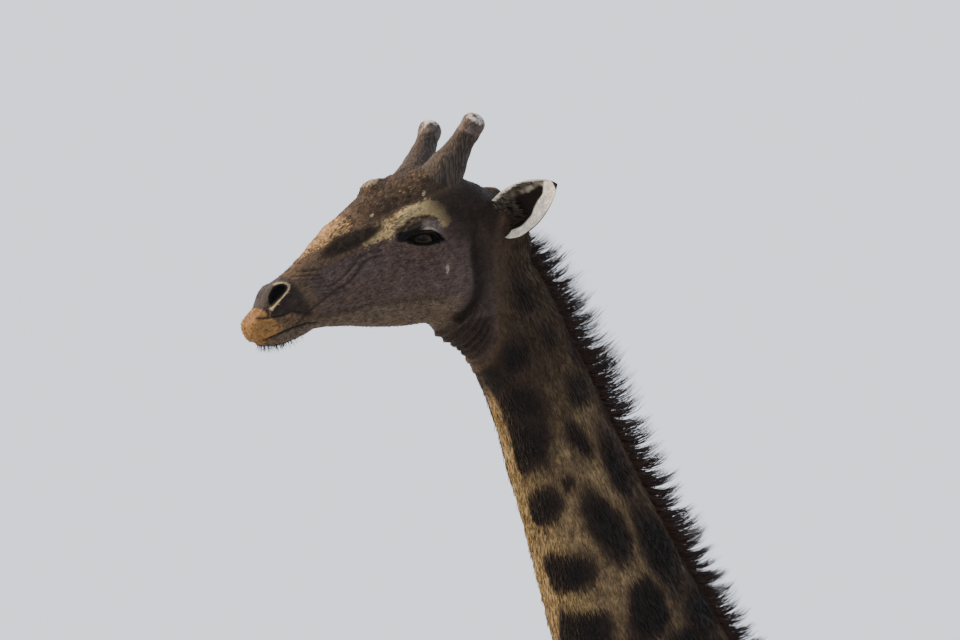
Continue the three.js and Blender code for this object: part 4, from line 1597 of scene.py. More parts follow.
@dataclass(frozen=True)
class HairedHide:
    """Short hair lying flat on living hide, grown in patches; it gives a soft, streaked, nearly matt surface.

    A lock is drawn wider than one of real hair, a little over a millimetre, so that it shows at all.
    """

    name: str
    bump: float = 0.6
    strand: tuple[float, float] = (30.0, 4.2)  # length and width of a lock of body hair, in millimetres
    face_strand: tuple[float, float] = (15.0, 3.0)
    tan: str = "#5e4e3a"
    tan_light: str = "#7f6b4c"
    roughness: float = 0.72

    def build(self) -> Material:
        """Builds the material from the markings that the mesh carries.

        Returns:
            The material.
        """
        made, tree = new_material(self.name)
        layers = {name: read_layer(tree, name) for name in ("mark", "frames", "face_a", "face_b", "face_c", "face_d")}
        place = add(tree, "ShaderNodeTexCoord", out="Object")
        streaks = self.streaks(tree, place, layers["frames"])
        mottle = add(
            tree, "ShaderNodeTexNoise", {"Vector": place, "Scale": 1000 / 45, "Detail": 5.0, "Roughness": 0.62}
        )
        grain = add(tree, "ShaderNodeTexNoise", {"Vector": place, "Scale": 1000 / 13, "Detail": 4.0, "Roughness": 0.7})
        mixed = add(tree, "ShaderNodeMix", {0: 0.5, 2: mottle, 3: grain}, data_type="FLOAT")
        rag = add(tree, "ShaderNodeMix", {0: 0.4, 2: mixed, 3: streaks}, data_type="FLOAT")
        wave = add(tree, "ShaderNodeMath", {0: rag, 1: 0.5}, operation="SUBTRACT")
        share = add(tree, "ShaderNodeMapRange", {0: mottle, 1: 0.35, 2: 0.7}, interpolation_type="SMOOTHSTEP")
        colour = add(tree, "ShaderNodeMix", {0: share, 6: linear(self.tan), 7: linear(self.tan_light)}, **RGB)
        for zone in ZONES:
            value = layers[zone.layer][zone.channel]
            moved = add(tree, "ShaderNodeMath", {0: wave, 1: zone.ragged, 2: value}, operation="MULTIPLY_ADD")
            sockets = {0: moved, 1: zone.low, 2: zone.high, 4: zone.strength}
            share = add(tree, "ShaderNodeMapRange", sockets, interpolation_type="SMOOTHSTEP")
            colour = add(tree, "ShaderNodeMix", {0: share, 6: colour, 7: linear(zone.colour)}, **RGB)
        fleck = add(tree, "ShaderNodeMapRange", {0: streaks, 1: 0.3, 2: 0.7, 3: 0.5, 4: 1.3})
        colour = add(tree, "ShaderNodeVectorMath", {0: colour, "Scale": fleck}, operation="SCALE")
        spots = add(tree, "ShaderNodeMapRange", {0: grain, 1: 0.32, 2: 0.68, 3: 0.6, 4: 1.3})
        colour = add(tree, "ShaderNodeVectorMath", {0: colour, "Scale": spots}, operation="SCALE")
        wet = add(tree, "ShaderNodeMapRange", {0: layers["face_a"][1], 3: self.roughness, 4: 0.5})
        sockets = {"Base Color": colour, "Roughness": wet, "Sheen Weight": 0.03, "Sheen Roughness": 0.45,
            "Specular IOR Level": 0.12}
        if self.bump:
            sockets["Normal"] = self.relief(tree, place, streaks, grain, layers["face_a"][1])
        add(tree, "ShaderNodeOutputMaterial", {0: add(tree, "ShaderNodeBsdfPrincipled", sockets)})
        return made

    def streaks(self, tree: Tree, place: Any, frames: list) -> Any:
        """Noise drawn out along the lie of the hair, which differs from part to part.

        Args:
            tree: The material's node tree.
            place: Position in the model.
            frames: How much each place belongs to head, neck and legs.

        Returns:
            The output that carries the noise.
        """
        value = None
        for tilt, share, (long, wide) in (
            (0.0, None, self.strand), (NECK_LINE.tilt, frames[1], self.strand), (90.0, frames[2], self.strand),
            (HEAD_LINE.tilt, frames[0], self.face_strand),
        ):
            turned = add(tree, "ShaderNodeMapping", {0: place, 2: (0.0, math.radians(tilt), 0.0)})
            drawn = add(tree, "ShaderNodeMapping", {0: turned, 3: (1000 / long, 1000 / wide, 1000 / wide)})
            here = add(
                tree, "ShaderNodeTexNoise",
                {"Vector": drawn, "Scale": 1.0, "Detail": 2.5, "Roughness": 0.6, "Distortion": 0.35}
            )
            value = here if value is None else add(
                tree, "ShaderNodeMix", {0: share, 2: value, 3: here}, data_type="FLOAT"
            )
        return value

    def relief(self, tree: Tree, place: Any, streaks: Any, grain: Any, nose: Any) -> Any:
        """Bump of flat hair, with the fine crackle of bare skin on the nose.

        Args:
            tree: The material's node tree.
            place: Position in the model.
            streaks: Noise along the hair.
            grain: Noise of unevenness.
            nose: How much each place belongs to the nose.

        Returns:
            The output that carries the bent normal.
        """
        crackle = add(tree, "ShaderNodeTexVoronoi", {"Vector": place, "Scale": 1000 / 3.2}, feature="DISTANCE_TO_EDGE")
        crackle = add(tree, "ShaderNodeMapRange", {0: crackle, 2: 0.25})
        height = add(tree, "ShaderNodeMix", {0: nose, 2: streaks, 3: crackle}, data_type="FLOAT")
        height = add(tree, "ShaderNodeMath", {0: grain, 1: 0.8, 2: height}, operation="MULTIPLY_ADD")
        return add(tree, "ShaderNodeBump", {"Strength": self.bump, "Distance": 0.0024, "Height": height})


@dataclass(frozen=True)
class Keratin:
    """Horn of a hoof, grown in rings and worn by walking; it gives a dull, faintly banded sheen."""

    name: str = "worn_hoof_horn"
    dark: str = "#2a2420"
    light: str = "#5d5043"
    ring: float = 9.0  # height of a growth ring, in millimetres
    fibre: float = 2.5  # width of the upright fibres

    def build(self) -> Material:
        """Builds the material.

        Returns:
            The material.
        """
        made, tree = new_material(self.name)
        place = add(tree, "ShaderNodeTexCoord", out="Object")
        stretched = add(tree, "ShaderNodeMapping", {0: place, 3: (6.0, 6.0, 1000 / self.ring)})
        rings = add(tree, "ShaderNodeTexNoise", {"Vector": stretched, "Scale": 1.0, "Detail": 3.0})
        upright = add(tree, "ShaderNodeMapping", {0: place, 3: (1000 / self.fibre, 1000 / self.fibre, 9.0)})
        fine = add(tree, "ShaderNodeTexNoise", {"Vector": upright, "Scale": 1.0, "Detail": 2.0})
        share = add(tree, "ShaderNodeMapRange", {0: rings, 1: 0.38, 2: 0.66})
        colour = add(tree, "ShaderNodeMix", {0: share, 6: linear(self.dark), 7: linear(self.light)}, **RGB)
        height = add(tree, "ShaderNodeMath", {0: rings, 1: 1.6, 2: fine}, operation="MULTIPLY_ADD")
        bump = add(tree, "ShaderNodeBump", {"Strength": 0.6, "Distance": 0.0016, "Height": height})
        shader = add(tree, "ShaderNodeBsdfPrincipled", {"Base Color": colour, "Roughness": 0.48, "Normal": bump})
        add(tree, "ShaderNodeOutputMaterial", {0: shader})
        return made


@dataclass(frozen=True)
class HornSkin:
    """Haired skin over the bone of an ossicone, rubbed bald on its knob; grey and scuffed with pale scars."""

    name: str = "rubbed_ossicone_skin"
    stem: str = "#1b1613"
    stem_light: str = "#443930"
    bald: str = "#574c46"
    bald_dark: str = "#2e2723"
    scar: str = "#b9b0a7"

    def build(self) -> Material:
        """Builds the material from the height and the wear that the mesh carries.

        Returns:
            The material.
        """
        made, tree = new_material(self.name)
        bare, wear = read_layer(tree, "horn")[:2]
        place = add(tree, "ShaderNodeTexCoord", out="Object")
        rough = add(tree, "ShaderNodeTexNoise", {"Vector": place, "Scale": 1000 / 14, "Detail": 6.0, "Roughness": 0.68})
        hair = add(tree, "ShaderNodeMapping", {0: place, 2: (0.0, -0.46, 0.0), 3: (260.0, 260.0, 34.0)})
        streak = add(tree, "ShaderNodeTexNoise", {"Vector": hair, "Scale": 1.0, "Detail": 3.0})
        lit = add(tree, "ShaderNodeMapRange", {0: streak, 1: 0.40, 2: 0.70})
        stem = add(tree, "ShaderNodeMix", {0: lit, 6: linear(self.stem), 7: linear(self.stem_light)}, **RGB)
        patchy = add(tree, "ShaderNodeMapRange", {0: rough, 1: 0.38, 2: 0.64})
        knob = add(tree, "ShaderNodeMix", {0: patchy, 6: linear(self.bald_dark), 7: linear(self.bald)}, **RGB)
        ragged = add(tree, "ShaderNodeMath", {0: rough, 1: 0.9, 2: bare}, operation="MULTIPLY_ADD")
        share = add(tree, "ShaderNodeMapRange", {0: ragged, 1: 0.8, 2: 1.15}, interpolation_type="SMOOTHSTEP")
        colour = add(tree, "ShaderNodeMix", {0: share, 6: stem, 7: knob}, **RGB)
        worn = add(tree, "ShaderNodeMath", {0: rough, 1: 1.1, 2: wear}, operation="MULTIPLY_ADD")
        share = add(tree, "ShaderNodeMapRange", {0: worn, 1: 0.92, 2: 1.2}, interpolation_type="SMOOTHSTEP")
        colour = add(tree, "ShaderNodeMix", {0: share, 6: colour, 7: linear(self.scar)}, **RGB)
        height = add(tree, "ShaderNodeMath", {0: streak, 1: 0.7, 2: rough}, operation="MULTIPLY_ADD")
        bump = add(tree, "ShaderNodeBump", {"Strength": 0.9, "Distance": 0.004, "Height": height})
        shader = add(
            tree, "ShaderNodeBsdfPrincipled",
            {"Base Color": colour, "Roughness": 0.66, "Specular IOR Level": 0.2, "Normal": bump}
        )
        add(tree, "ShaderNodeOutputMaterial", {0: shader})
        return made


@dataclass(frozen=True)
class WetEye:
    """A dark brown eye under a wet cornea: nearly black, with small sharp highlights."""

    name: str = "wet_dark_eye"

    def build(self) -> Material:
        """Builds the material from the rings that the mesh carries.

        Returns:
            The material.
        """
        made, tree = new_material(self.name)
        slit, white = read_layer(tree, "eye")[:2]
        place = add(tree, "ShaderNodeTexCoord", out="Object")
        fibres = add(tree, "ShaderNodeTexNoise", {"Vector": place, "Scale": 420.0, "Detail": 3.0})
        iris = add(tree, "ShaderNodeMix", {0: fibres, 6: linear("#150e09"), 7: linear("#2e2014")}, **RGB)
        pupil = add(tree, "ShaderNodeMix", {0: slit, 6: iris, 7: linear("#040404")}, **RGB)
        colour = add(tree, "ShaderNodeMix", {0: white, 6: pupil, 7: linear("#120e0c")}, **RGB)
        sockets = {
            "Base Color": colour, "Roughness": 0.25, "Specular IOR Level": 0.05,
            "Coat Weight": 0.22, "Coat Roughness": 0.03, "Coat IOR": 1.34,
        }
        add(tree, "ShaderNodeOutputMaterial", {0: add(tree, "ShaderNodeBsdfPrincipled", sockets)})
        return made


@dataclass(frozen=True)
class LongHair:
    """Coarse standing or hanging hair; each lock has its own tone, paler or redder towards one end."""

    name: str
    root: str
    tip: str
    light: str
    roughness: float = 0.55

    def build(self) -> Material:
        """Builds the material from the tone and the height that each lock carries.

        Returns:
            The material.
        """
        made, tree = new_material(self.name)
        height, tone = read_layer(tree, "lock")[:2]
        colour = add(tree, "ShaderNodeMix", {0: height, 6: linear(self.root), 7: linear(self.tip)}, **RGB)
        colour = add(tree, "ShaderNodeMix", {0: tone, 6: colour, 7: linear(self.light)}, **RGB)
        place = add(tree, "ShaderNodeTexCoord", out="Object")
        fine = add(tree, "ShaderNodeTexNoise", {"Vector": place, "Scale": 1000 / 3, "Detail": 2.0})
        shade = add(tree, "ShaderNodeMapRange", {0: fine, 1: 0.3, 2: 0.7, 3: 0.7, 4: 1.15})
        colour = add(tree, "ShaderNodeVectorMath", {0: colour, "Scale": shade}, operation="SCALE")
        sockets = {"Base Color": colour, "Roughness": self.roughness, "Specular IOR Level": 0.2}
        add(tree, "ShaderNodeOutputMaterial", {0: add(tree, "ShaderNodeBsdfPrincipled", sockets)})
        return made


# ---- locks of hair
@dataclass
class Locks:
    """Tufts and locks that are still being made: each is a slender closed prism along its own path."""

    paths: Array  # locks, rings, xyz: the last point is the tip
    widths: Array  # half width of each lock at each ring before the tip
    faces: Array  # for each lock the direction its flat side looks to
    flat: float = 0.3  # thickness as a share of the width

    def surface(self) -> Surface:
        """The prisms as one set of points and triangles.

        Returns:
            The surface.
        """
        paths, rings = self.paths, self.paths.shape[1] - 1
        count = len(paths)
        along = unit(np.gradient(paths, axis=1))
        side = unit(np.cross(along, np.broadcast_to(self.faces[:, None], along.shape)))
        out = np.cross(side, along)
        w = self.widths[..., None]
        body = np.stack([
            paths[:, :-1] + side[:, :-1] * w, paths[:, :-1] - side[:, :-1] * w,
                paths[:, :-1] + out[:, :-1] * w * self.flat * 2,
        ], axis=2).reshape(count, rings * 3, 3)
        points = np.concatenate([body, paths[:, -1:]], axis=1).reshape(-1, 3)
        one = [(0, 1, 2)]
        for r in range(rings - 1):
            for k in range(3):
                a, b = r * 3 + k, r * 3 + (k + 1) % 3
                one += [(a, a + 3, b), (b, a + 3, b + 3)]
        last = (rings - 1) * 3
        one += [(last + k, rings * 3, last + (k + 1) % 3) for k in range(3)]
        triangles = (np.array(one)[None] + (rings * 3 + 1) * np.arange(count)[:, None, None]).reshape(-1, 3)
        return Surface(points, triangles)

    def spread(self, values: Array) -> Array:
        """Values of the locks repeated for each of their points."""
        return np.repeat(values, (self.paths.shape[1] - 1) * 3 + 1, axis=0)

    def height(self) -> Array:
        """How far along its lock each point lies, from 0 to 1."""
        rings = self.paths.shape[1] - 1
        one = np.concatenate([np.repeat(np.arange(rings) / rings, 3), [1.0]])
        return np.tile(one, len(self.paths))

    def bake_map(self, places: Array) -> Array:
        """A tiny patch of the bake's map for each lock, at its root's place.

        Args:
            places: Place of each root on the unwrap.

        Returns:
            A place on the map for each point of the locks.
        """
        rings = self.paths.shape[1] - 1
        across = np.concatenate([np.tile([-1.0, 1.0, 0.0], rings), [0.0]])
        up = np.concatenate([np.repeat(np.arange(rings) / rings, 3) * 2 - 1, [1.0]])
        patch = np.stack([across, up], 1) * 0.0015
        return (np.clip(places, 0.003, 0.997)[:, None] + patch[None]).reshape(-1, 2)


TUFT_RINGS = 3  # points along a tuft of the short coat


def tufts(
    roots: Array, lies: Array, normals: Array, length: Array, width: Array, lift: Array, flick: Array
) -> Locks:
    """Short tufts that leave the skin, bend over and lie along it.

    Args:
        roots: Where they grow.
        lies: The direction that each lies in.
        normals: Outward direction at each root.
        length: Length of each.
        width: Half width of each at its root.
        lift: How high its middle stands.
        flick: How high its tip stands.

    Returns:
        The tufts.
    """
    f = np.linspace(0, 1, TUFT_RINGS)[None, :, None]
    rise = -1.2 * (1 - f) ** 2 + lift[:, None, None] * 4 * f * (1 - f) * 0.8 + flick[:, None, None] * f**2
    paths = roots[:, None] + lies[:, None] * length[:, None, None] * f + normals[:, None] * rise
    taper = np.linspace(1, 0.75, TUFT_RINGS - 1)
    return Locks(paths, width[:, None] * taper[None], normals)


# ---- the skin
@dataclass
class Skin:
    """The one skin over head, ears, neck, trunk, legs and tail."""

    flesh: Flesh
    cell: float = 12.0
    low: tuple[float, float, float] = (-1672.0, -480.0, 60.0)
    high: tuple[float, float, float] = (1580.0, 480.0, 5060.0)
    surface: Optional[Surface] = None
    normals: Optional[Array] = None
    markings: Optional[Markings] = None
    reading: Optional[dict[str, Array]] = None
    body_count: int = 0

    def wanted(self, p: Array) -> Array:
        """Longest edge wanted at each place: fine on the face, finest round eyes, nostrils and mouth.

        Args:
            p: Points, in rows of three.

        Returns:
            One length for each point.
        """
        t, v, _ = HEAD_LINE.local(p)
        s, _, _ = NECK_LINE.local(p)
        size = np.where(s > 1000, 9.5, 40.0)
        on_head = (p[:, 0] < -960) & (p[:, 2] > 4500)
        size[on_head] = 5.6
        a, b = EYE.opening(p)
        out, _ = NOSTRIL.outside(t, v)
        by_mouth, _ = polyline_distance(t, v, MOUTH_LINE)
        face = on_head & (p[:, 0] < -985)
        size[face & (np.hypot(a * 0.8, b) < 40) & (np.abs(p[:, 1]) > 60)] = 2.4
        size[face & (np.abs(out) < 9) & (np.abs(p[:, 1]) > 15)] = 2.8
        size[face & (by_mouth < 9)] = 3.2
        size[(t > 440) & (t < 610) & (v < -155) & (v > -340) & on_head] = 3.4
        return size

    def grow(self) -> None:
        """Wraps the flesh, refines the mesh and presses in the folds."""
        made = Surface.around(self.flesh.skin, np.array(self.low), np.array(self.high), self.cell)
        made.points = self.flesh.settle(made.points, 2)
        rounds = 0
        while rounds < 5 and made.refine(self.wanted):
            made.points = self.flesh.settle(made.points, 1)
            if rounds < 3:
                made.points = self.flesh.settle((made.points + made.neighbours_mean(made.points)) / 2, 1)
            rounds += 1
        _, slope = self.flesh.normals(made.points)
        outward = unit(slope)
        height, shift = Relief().raise_by(made.points, outward)
        flat = made.points
        made.points = flat + outward * height[:, None] + shift
        log.info("skin: %d points, %d triangles", len(made.points), len(made.triangles))
        patches = Patches()
        patches.sow(flat, SEED)
        self.markings = Markings(patches)
        self.surface, self.normals = made, made.point_normals()
        self.reading = self.markings.read(flat)
        self.body_count = len(flat)
        for side in (LEFT, RIGHT):
            self.add_ear(side)

    def add_ear(self, side: float) -> None:
        """Adds the leaf of an ear, whose root lies in the flesh behind it.

        Args:
            side: The side of the body, as the sign of Y.
        """
        rows, columns = 60, 28
        f, w = np.meshgrid(np.linspace(0, 1, rows), np.linspace(-1, 1, columns), indexing="ij")
        ridge = 1.6 * np.cos(w * 9.0) * np.sin(np.pi * np.clip(f / 0.7, 0, 1)) * (1 - np.abs(w))
        inner = EAR.sheet(side, f, w, ridge - 1.0)
        edge = np.sqrt(np.clip(1 - w**2, 0, 1))
        outer = EAR.sheet(side, f, w, ridge - 1.0 - EAR.thickness * (1 - 0.5 * f) * edge - 0.8)
        wobble = noise(inner.reshape(-1, 3), 30, 51).reshape(f.shape) * 1.8 * f
        _, _, _, out = EAR.frame(side)
        points = np.concatenate(
            [(inner + wobble[..., None] * out).reshape(-1, 3), (outer + wobble[..., None] * out).reshape(-1, 3)]
        )
        grid = np.arange(rows * columns).reshape(rows, columns)
        quads = [np.stack([grid[:-1, :-1], grid[1:, :-1], grid[1:, 1:], grid[:-1, 1:]], -1).reshape(-1, 4)]
        back = grid + rows * columns
        quads.append(np.stack([back[:-1, :-1], back[:-1, 1:], back[1:, 1:], back[1:, :-1]], -1).reshape(-1, 4))
        ring = np.concatenate([grid[0, :], grid[1:, -1], grid[-1, -2::-1], grid[-2:0:-1, 0]])
        after = np.roll(ring, -1)
        offset = rows * columns
        quads.append(np.stack([ring, after, after + offset, ring + offset], -1))
        quad = np.concatenate(quads)
        if side < 0:
            quad = quad[:, ::-1]
        triangles = halved(quad)
        leaf = Surface(points, triangles)
        share = np.zeros((len(points), 4))
        inside = np.concatenate([np.ones(offset), np.zeros(offset)])
        ff, ww = np.tile(f.ravel(), 2), np.tile(w.ravel(), 2)
        rim = np.maximum(ramp(0.9, 0.97, -ww) * ramp(0.1, 0.4, ff), ramp(0.94, 0.975, ff))
        cream = np.maximum(inside, 0.55 * ramp(0.55, 0.95, np.abs(ww)))
        low = np.interp(ff, [0, 0.27, 0.46, 0.6, 0.76, 0.84, 0.9], [-0.35, -0.55, -0.43, -0.15, 0.06, 0.5, 1])
        # painted shade in the hollow of the ear's cup
        middle = ramp(-0.08, 0.1, ww - low) * ramp(0.97, 0.86, ww) * inside * (1 - 0.35 * ramp(0.3, 0.6, ww))
        streak = 0.5 + 0.5 * noise(points, 12, 52)
        share[:, 0] = cream * (1 - rim)
        share[:, 1] = np.maximum(middle * (0.8 + 0.4 * streak), 0.9 * rim)
        zero = np.zeros((len(points), 4))
        head = zero.copy()
        head[:, 0] = 1.0
        mark = zero.copy()
        mark[:, 0] = -1.0
        crown = zero.copy()
        crown[:, 1] = 0.6
        extra = {"mark": mark, "frames": head, "face_a": zero, "face_b": zero, "face_c": share, "face_d": crown}
        self.normals = np.concatenate([self.normals, leaf.point_normals()])
        self.surface = Surface(
            np.concatenate([self.surface.points, points]),
            np.concatenate([self.surface.triangles, triangles + len(self.surface.points)]),
        )
        self.reading = {key: np.concatenate([value, extra[key]]) for key, value in self.reading.items()}

    def build(self, finish: Material) -> None:
        """Makes the object and says what it stands for.

        Args:
            finish: Its material.
        """
        piece = make_object("skin", self.surface, finish, self.reading)
        legs = [f"{foot.node}_{part}" for foot in Foot for part in ("forearm" if foot.is_fore else "gaskin", "cannon")]
        attach(piece, "coat", "head", "lower_jaw", "neck", "trunk", "tail", "left_ear", "right_ear", *legs)


# ---- eyes
@dataclass(frozen=True)
class Eyes:
    """The eyeballs with the moist rims of their lids, and the lashes."""

    skin: Skin
    rings: int = 40
    sides: int = 64

    def build(self, wet: Material, rim: Material, hair: Material) -> None:
        """Makes both eyes.

        Args:
            wet: Material of the eyeballs.
            rim: Material of the lid rims.
            hair: Material of the lashes.
        """
        for side, name in SIDES:
            ball = self.ball(side, f"{name}_eyeball", wet)
            attach(ball, "eye", f"{name}_eye")
            edge = self.rim(side, f"{name}_lid_rim", rim)
            attach(edge, "eye")
            lashes = self.lashes(side, f"{name}_lashes", hair)
            attach(lashes, "face_coat")

    def ball(self, side: float, name: str, finish: Material) -> Piece:
        """An eyeball with the bulge of its cornea, iris and a long level pupil.

        Args:
            side: The side of the body, as the sign of Y.
            name: Name of the piece.
            finish: Its material.

        Returns:
            The new object.
        """
        look = unit(np.array([-0.3, side * 0.94, -0.1]))
        level = unit(np.cross(np.array([0, 0, 1.0]), look))
        up = np.cross(look, level)
        polar = np.linspace(0, np.pi, self.rings)[:, None]
        round_ = np.linspace(0, 2 * np.pi, self.sides, endpoint=False)[None, :]
        bulge = 1.0 + 0.045 * np.exp(-((polar / 0.55) ** 4))
        radius = (EYE.radius - 1.0) * bulge
        a, b = radius * np.sin(polar) * np.cos(round_), radius * np.sin(polar) * np.sin(round_)
        c = radius * np.cos(polar) + 0 * round_
        points = EYE.centre(side) + a[..., None] * level + b[..., None] * up + c[..., None] * look
        pupil = ramp(1.15, 0.85, np.hypot(a / 13, b / 6)) * (c > 0)
        white = ramp(0.76, 0.86, polar) + 0 * round_
        grid = np.arange(self.rings * self.sides).reshape(self.rings, self.sides)
        nxt = np.roll(grid, -1, axis=1)
        quad = np.stack([grid[:-1], grid[1:], nxt[1:], nxt[:-1]], -1).reshape(-1, 4)
        triangles = halved(quad)
        surface = weld(Surface(points.reshape(-1, 3), triangles), grid)
        values = marks(pupil.ravel(), white.ravel())
        return make_object(name, surface, finish, {"eye": values})

    def edge_points(self, side: float, count: int) -> tuple[Array, Array, Array]:
        """Points along the edge of the lids, with the direction across the edge and outwards.

        Args:
            side: Which eye.
            count: How many points.

        Returns:
            Points, directions away from the opening, and outward directions.
        """
        angle = np.linspace(0, 2 * np.pi, count, endpoint=False)
        a = EYE.half_length * np.cos(angle)
        upper, lower = EYE.edge(a)
        b = np.where(np.sin(angle) > 0, upper, lower)
        c, s = math.cos(math.radians(EYE.slant)), math.sin(math.radians(EYE.slant))
        t, v = EYE.t + a * c - b * s, EYE.v + a * s + b * c
        depth = np.sqrt(np.maximum((EYE.radius + EYE.lid) ** 2 - a**2 - b**2, 60.0))
        points = HEAD_LINE.world(t, v, side * (EYE.y + depth))
        points = self.skin.flesh.settle(points, 3)
        _, slope = self.skin.flesh.normals(points)
        out = unit(slope)
        middle = HEAD_LINE.world(EYE.t, EYE.v, side * EYE.y)
        away = points - middle
        away = away - (away * out).sum(1, keepdims=True) * out
        return points, unit(away), out

    def rim(self, side: float, name: str, finish: Material) -> Piece:
        """A soft dark ring that lines the opening and lies against the ball.

        Args:
            side: The side of the body, as the sign of Y.
            name: Name of the piece.
            finish: Its material.

        Returns:
            The new object.
        """
        count, around = 120, 10
        points, away, out = self.edge_points(side, count)
        theta = np.linspace(0, 2 * np.pi, around, endpoint=False)
        tube = (
            points[:, None] + (2.0 * np.cos(theta))[None, :, None] * away[:, None]
            + (2.7 * np.sin(theta) - 1.7)[None, :, None] * out[:, None]
        )
        grid = np.arange(count * around).reshape(count, around)
        ahead, beside = np.roll(grid, -1, 0), np.roll(grid, -1, 1)
        quad = np.stack([grid, beside, np.roll(ahead, -1, 1), ahead], -1).reshape(-1, 4)
        if side > 0:
            quad = quad[:, ::-1]
        made = Surface(tube.reshape(-1, 3), halved(quad))
        return make_object(name, made, finish)

    def lashes(self, side: float, name: str, finish: Material) -> Piece:
        """Long dark lashes on the upper lid, and short ones on the lower.

        Args:
            side: The side of the body, as the sign of Y.
            name: Name of the piece.
            finish: Its material.

        Returns:
            The new object.
        """
        rng = np.random.default_rng(SEED + int(side))
        count = 900
        points, _, out = self.edge_points(side, count)
        index = rng.choice(count, 330, replace=False)
        angle = index / count * 2 * np.pi
        above = np.sin(angle) > 0
        keep = np.abs(np.cos(angle)) < 0.97
        index, above = index[keep], above[keep]
        p, o = points[index], out[index]
        a_axis = HEAD_LINE.world(1, 0, 0) - HEAD_LINE.world(0, 0, 0)
        front = np.cos(angle[keep])
        length = np.where(above, rng.uniform(17, 27, len(p)), rng.uniform(6, 10, len(p)))
        down = np.where(above, -0.52, 0.0)[:, None] * np.array([0, 0, 1.0])
        first = unit(
            o * 0.9 + np.where(above, 0.1, -0.5)[:, None] * np.array([0, 0, 1.0]) + 0.35 * front[:, None] * a_axis
        )
        second = unit(o * 0.7 + down + (0.5 * front[:, None] - 0.3) * a_axis + rng.normal(0, 0.08, p.shape))
        f = np.linspace(0, 1, 4)[None, :, None]
        paths = (
            p[:, None] - o[:, None] * 1.0
            + length[:, None, None] * (first[:, None] * f * (1 - f / 2) + second[:, None] * f**2 / 2)
        )
        widths = np.array([0.7, 0.6, 0.4])[None] * rng.uniform(0.8, 1.2, (len(p), 1))
        locks = Locks(paths, widths, np.broadcast_to(np.array([0, 0, 1.0]), p.shape), 0.5)
        tone = locks.spread(np.zeros(len(p)))
        return make_object(
            name, locks.surface(), finish, {"lock": one_mark(tone)},
            locks.bake_map(np.stack([index / count, 0.2 + 0.6 * above], 1))
        )


def weld(surface: Surface, grid: Array) -> Surface:
    """Joins the first and last ring of a round body into its two poles.

    Args:
        surface: The body, made of rings of points.
        grid: The number of each point by ring and side.

    Returns:
        The body without the flat triangles at its poles.
    """
    number = np.arange(len(surface.points))
    number[grid[0]] = grid[0, 0]
    number[grid[-1]] = grid[-1, 0]
    triangles = number[surface.triangles]
    whole = (
        (triangles[:, 0] != triangles[:, 1]) & (triangles[:, 1] != triangles[:, 2])
        & (triangles[:, 0] != triangles[:, 2])
    )
    return Surface(surface.points, triangles[whole])


# ---- ossicones and hooves
@dataclass(frozen=True)
class Ossicones:
    """The two horns under skin, thick at the root, with bald rounded knobs."""

    rows: int = 90
    sides: int = 72

    def build(self, finish: Material) -> None:
        """Makes both ossicones.

        Args:
            finish: Its material.
        """
        for side, name in SIDES:
            root, axis = ossicone_frame(side)
            level = unit(np.cross(axis, np.array([0, 1.0, 0])))
            other = np.cross(axis, level)
            radii, heights = np.array(OSSICONE_PROFILE).T
            share = np.linspace(0, 1, self.rows)
            h = 14 + (heights[-1] - 14) * (1 - (1 - share) ** 1.6)
            dense = np.arange(0, 259.0)
            soft = np.interp(dense, heights, radii)
            kernel = np.exp(-((np.arange(-9, 10) / 5.0) ** 2))
            smooth = np.convolve(np.pad(soft, 9, mode="edge"), kernel / kernel.sum(), mode="valid")
            smooth = np.where(dense > 236, soft, smooth)
            r = np.interp(h, dense, smooth)
            r = np.where(h > 237, np.sqrt(np.clip(1 - ((h - 232) / (heights[-1] - 232)) ** 2, 0, 1)) * 29.8, r)
            theta = np.linspace(0, 2 * np.pi, self.sides, endpoint=False)
            ring = np.cos(theta)[:, None] * level + np.sin(theta)[:, None] * other
            points = (root + h[:, None, None] * axis + r[:, None, None] * ring[None]).reshape(-1, 3)
            out = np.broadcast_to(ring[None], (self.rows, self.sides, 3)).reshape(-1, 3)
            lumps = 1.7 * noise(points, 24, 61) + 0.9 * noise(points, 9, 62)
            tall = np.repeat(h, self.sides)
            points = points + out * (lumps * ramp(257, 235, tall) - 0.8)[:, None]
            grid = np.arange(self.rows * self.sides).reshape(self.rows, self.sides)
            nxt = np.roll(grid, -1, axis=1)
            quad = np.stack([grid[:-1], nxt[:-1], nxt[1:], grid[1:]], -1).reshape(-1, 4)
            cap = np.stack([np.full(self.sides, len(points)), nxt[0], grid[0]], 1)
            triangles = np.concatenate([halved(quad), cap])
            points = np.concatenate([points, (root + h[0] * axis)[None]])
            made = weld(Surface(points, triangles), np.stack([np.full(self.sides, len(points) - 1), grid[-1]]))
            bald = np.append(ramp(186, 226, tall), 0)
            worn = 0.5 * ramp(214, 246, tall) + 0.34 * ramp(0.45, 0.9, noise(points[:-1], 26, 63))
            worn = np.append(worn, 0)
            values = marks(bald, worn)
            piece = make_object(f"{name}_ossicone_skin", made, finish, {"horn": values})
            attach(piece, "ossicone", f"{name}_ossicone")


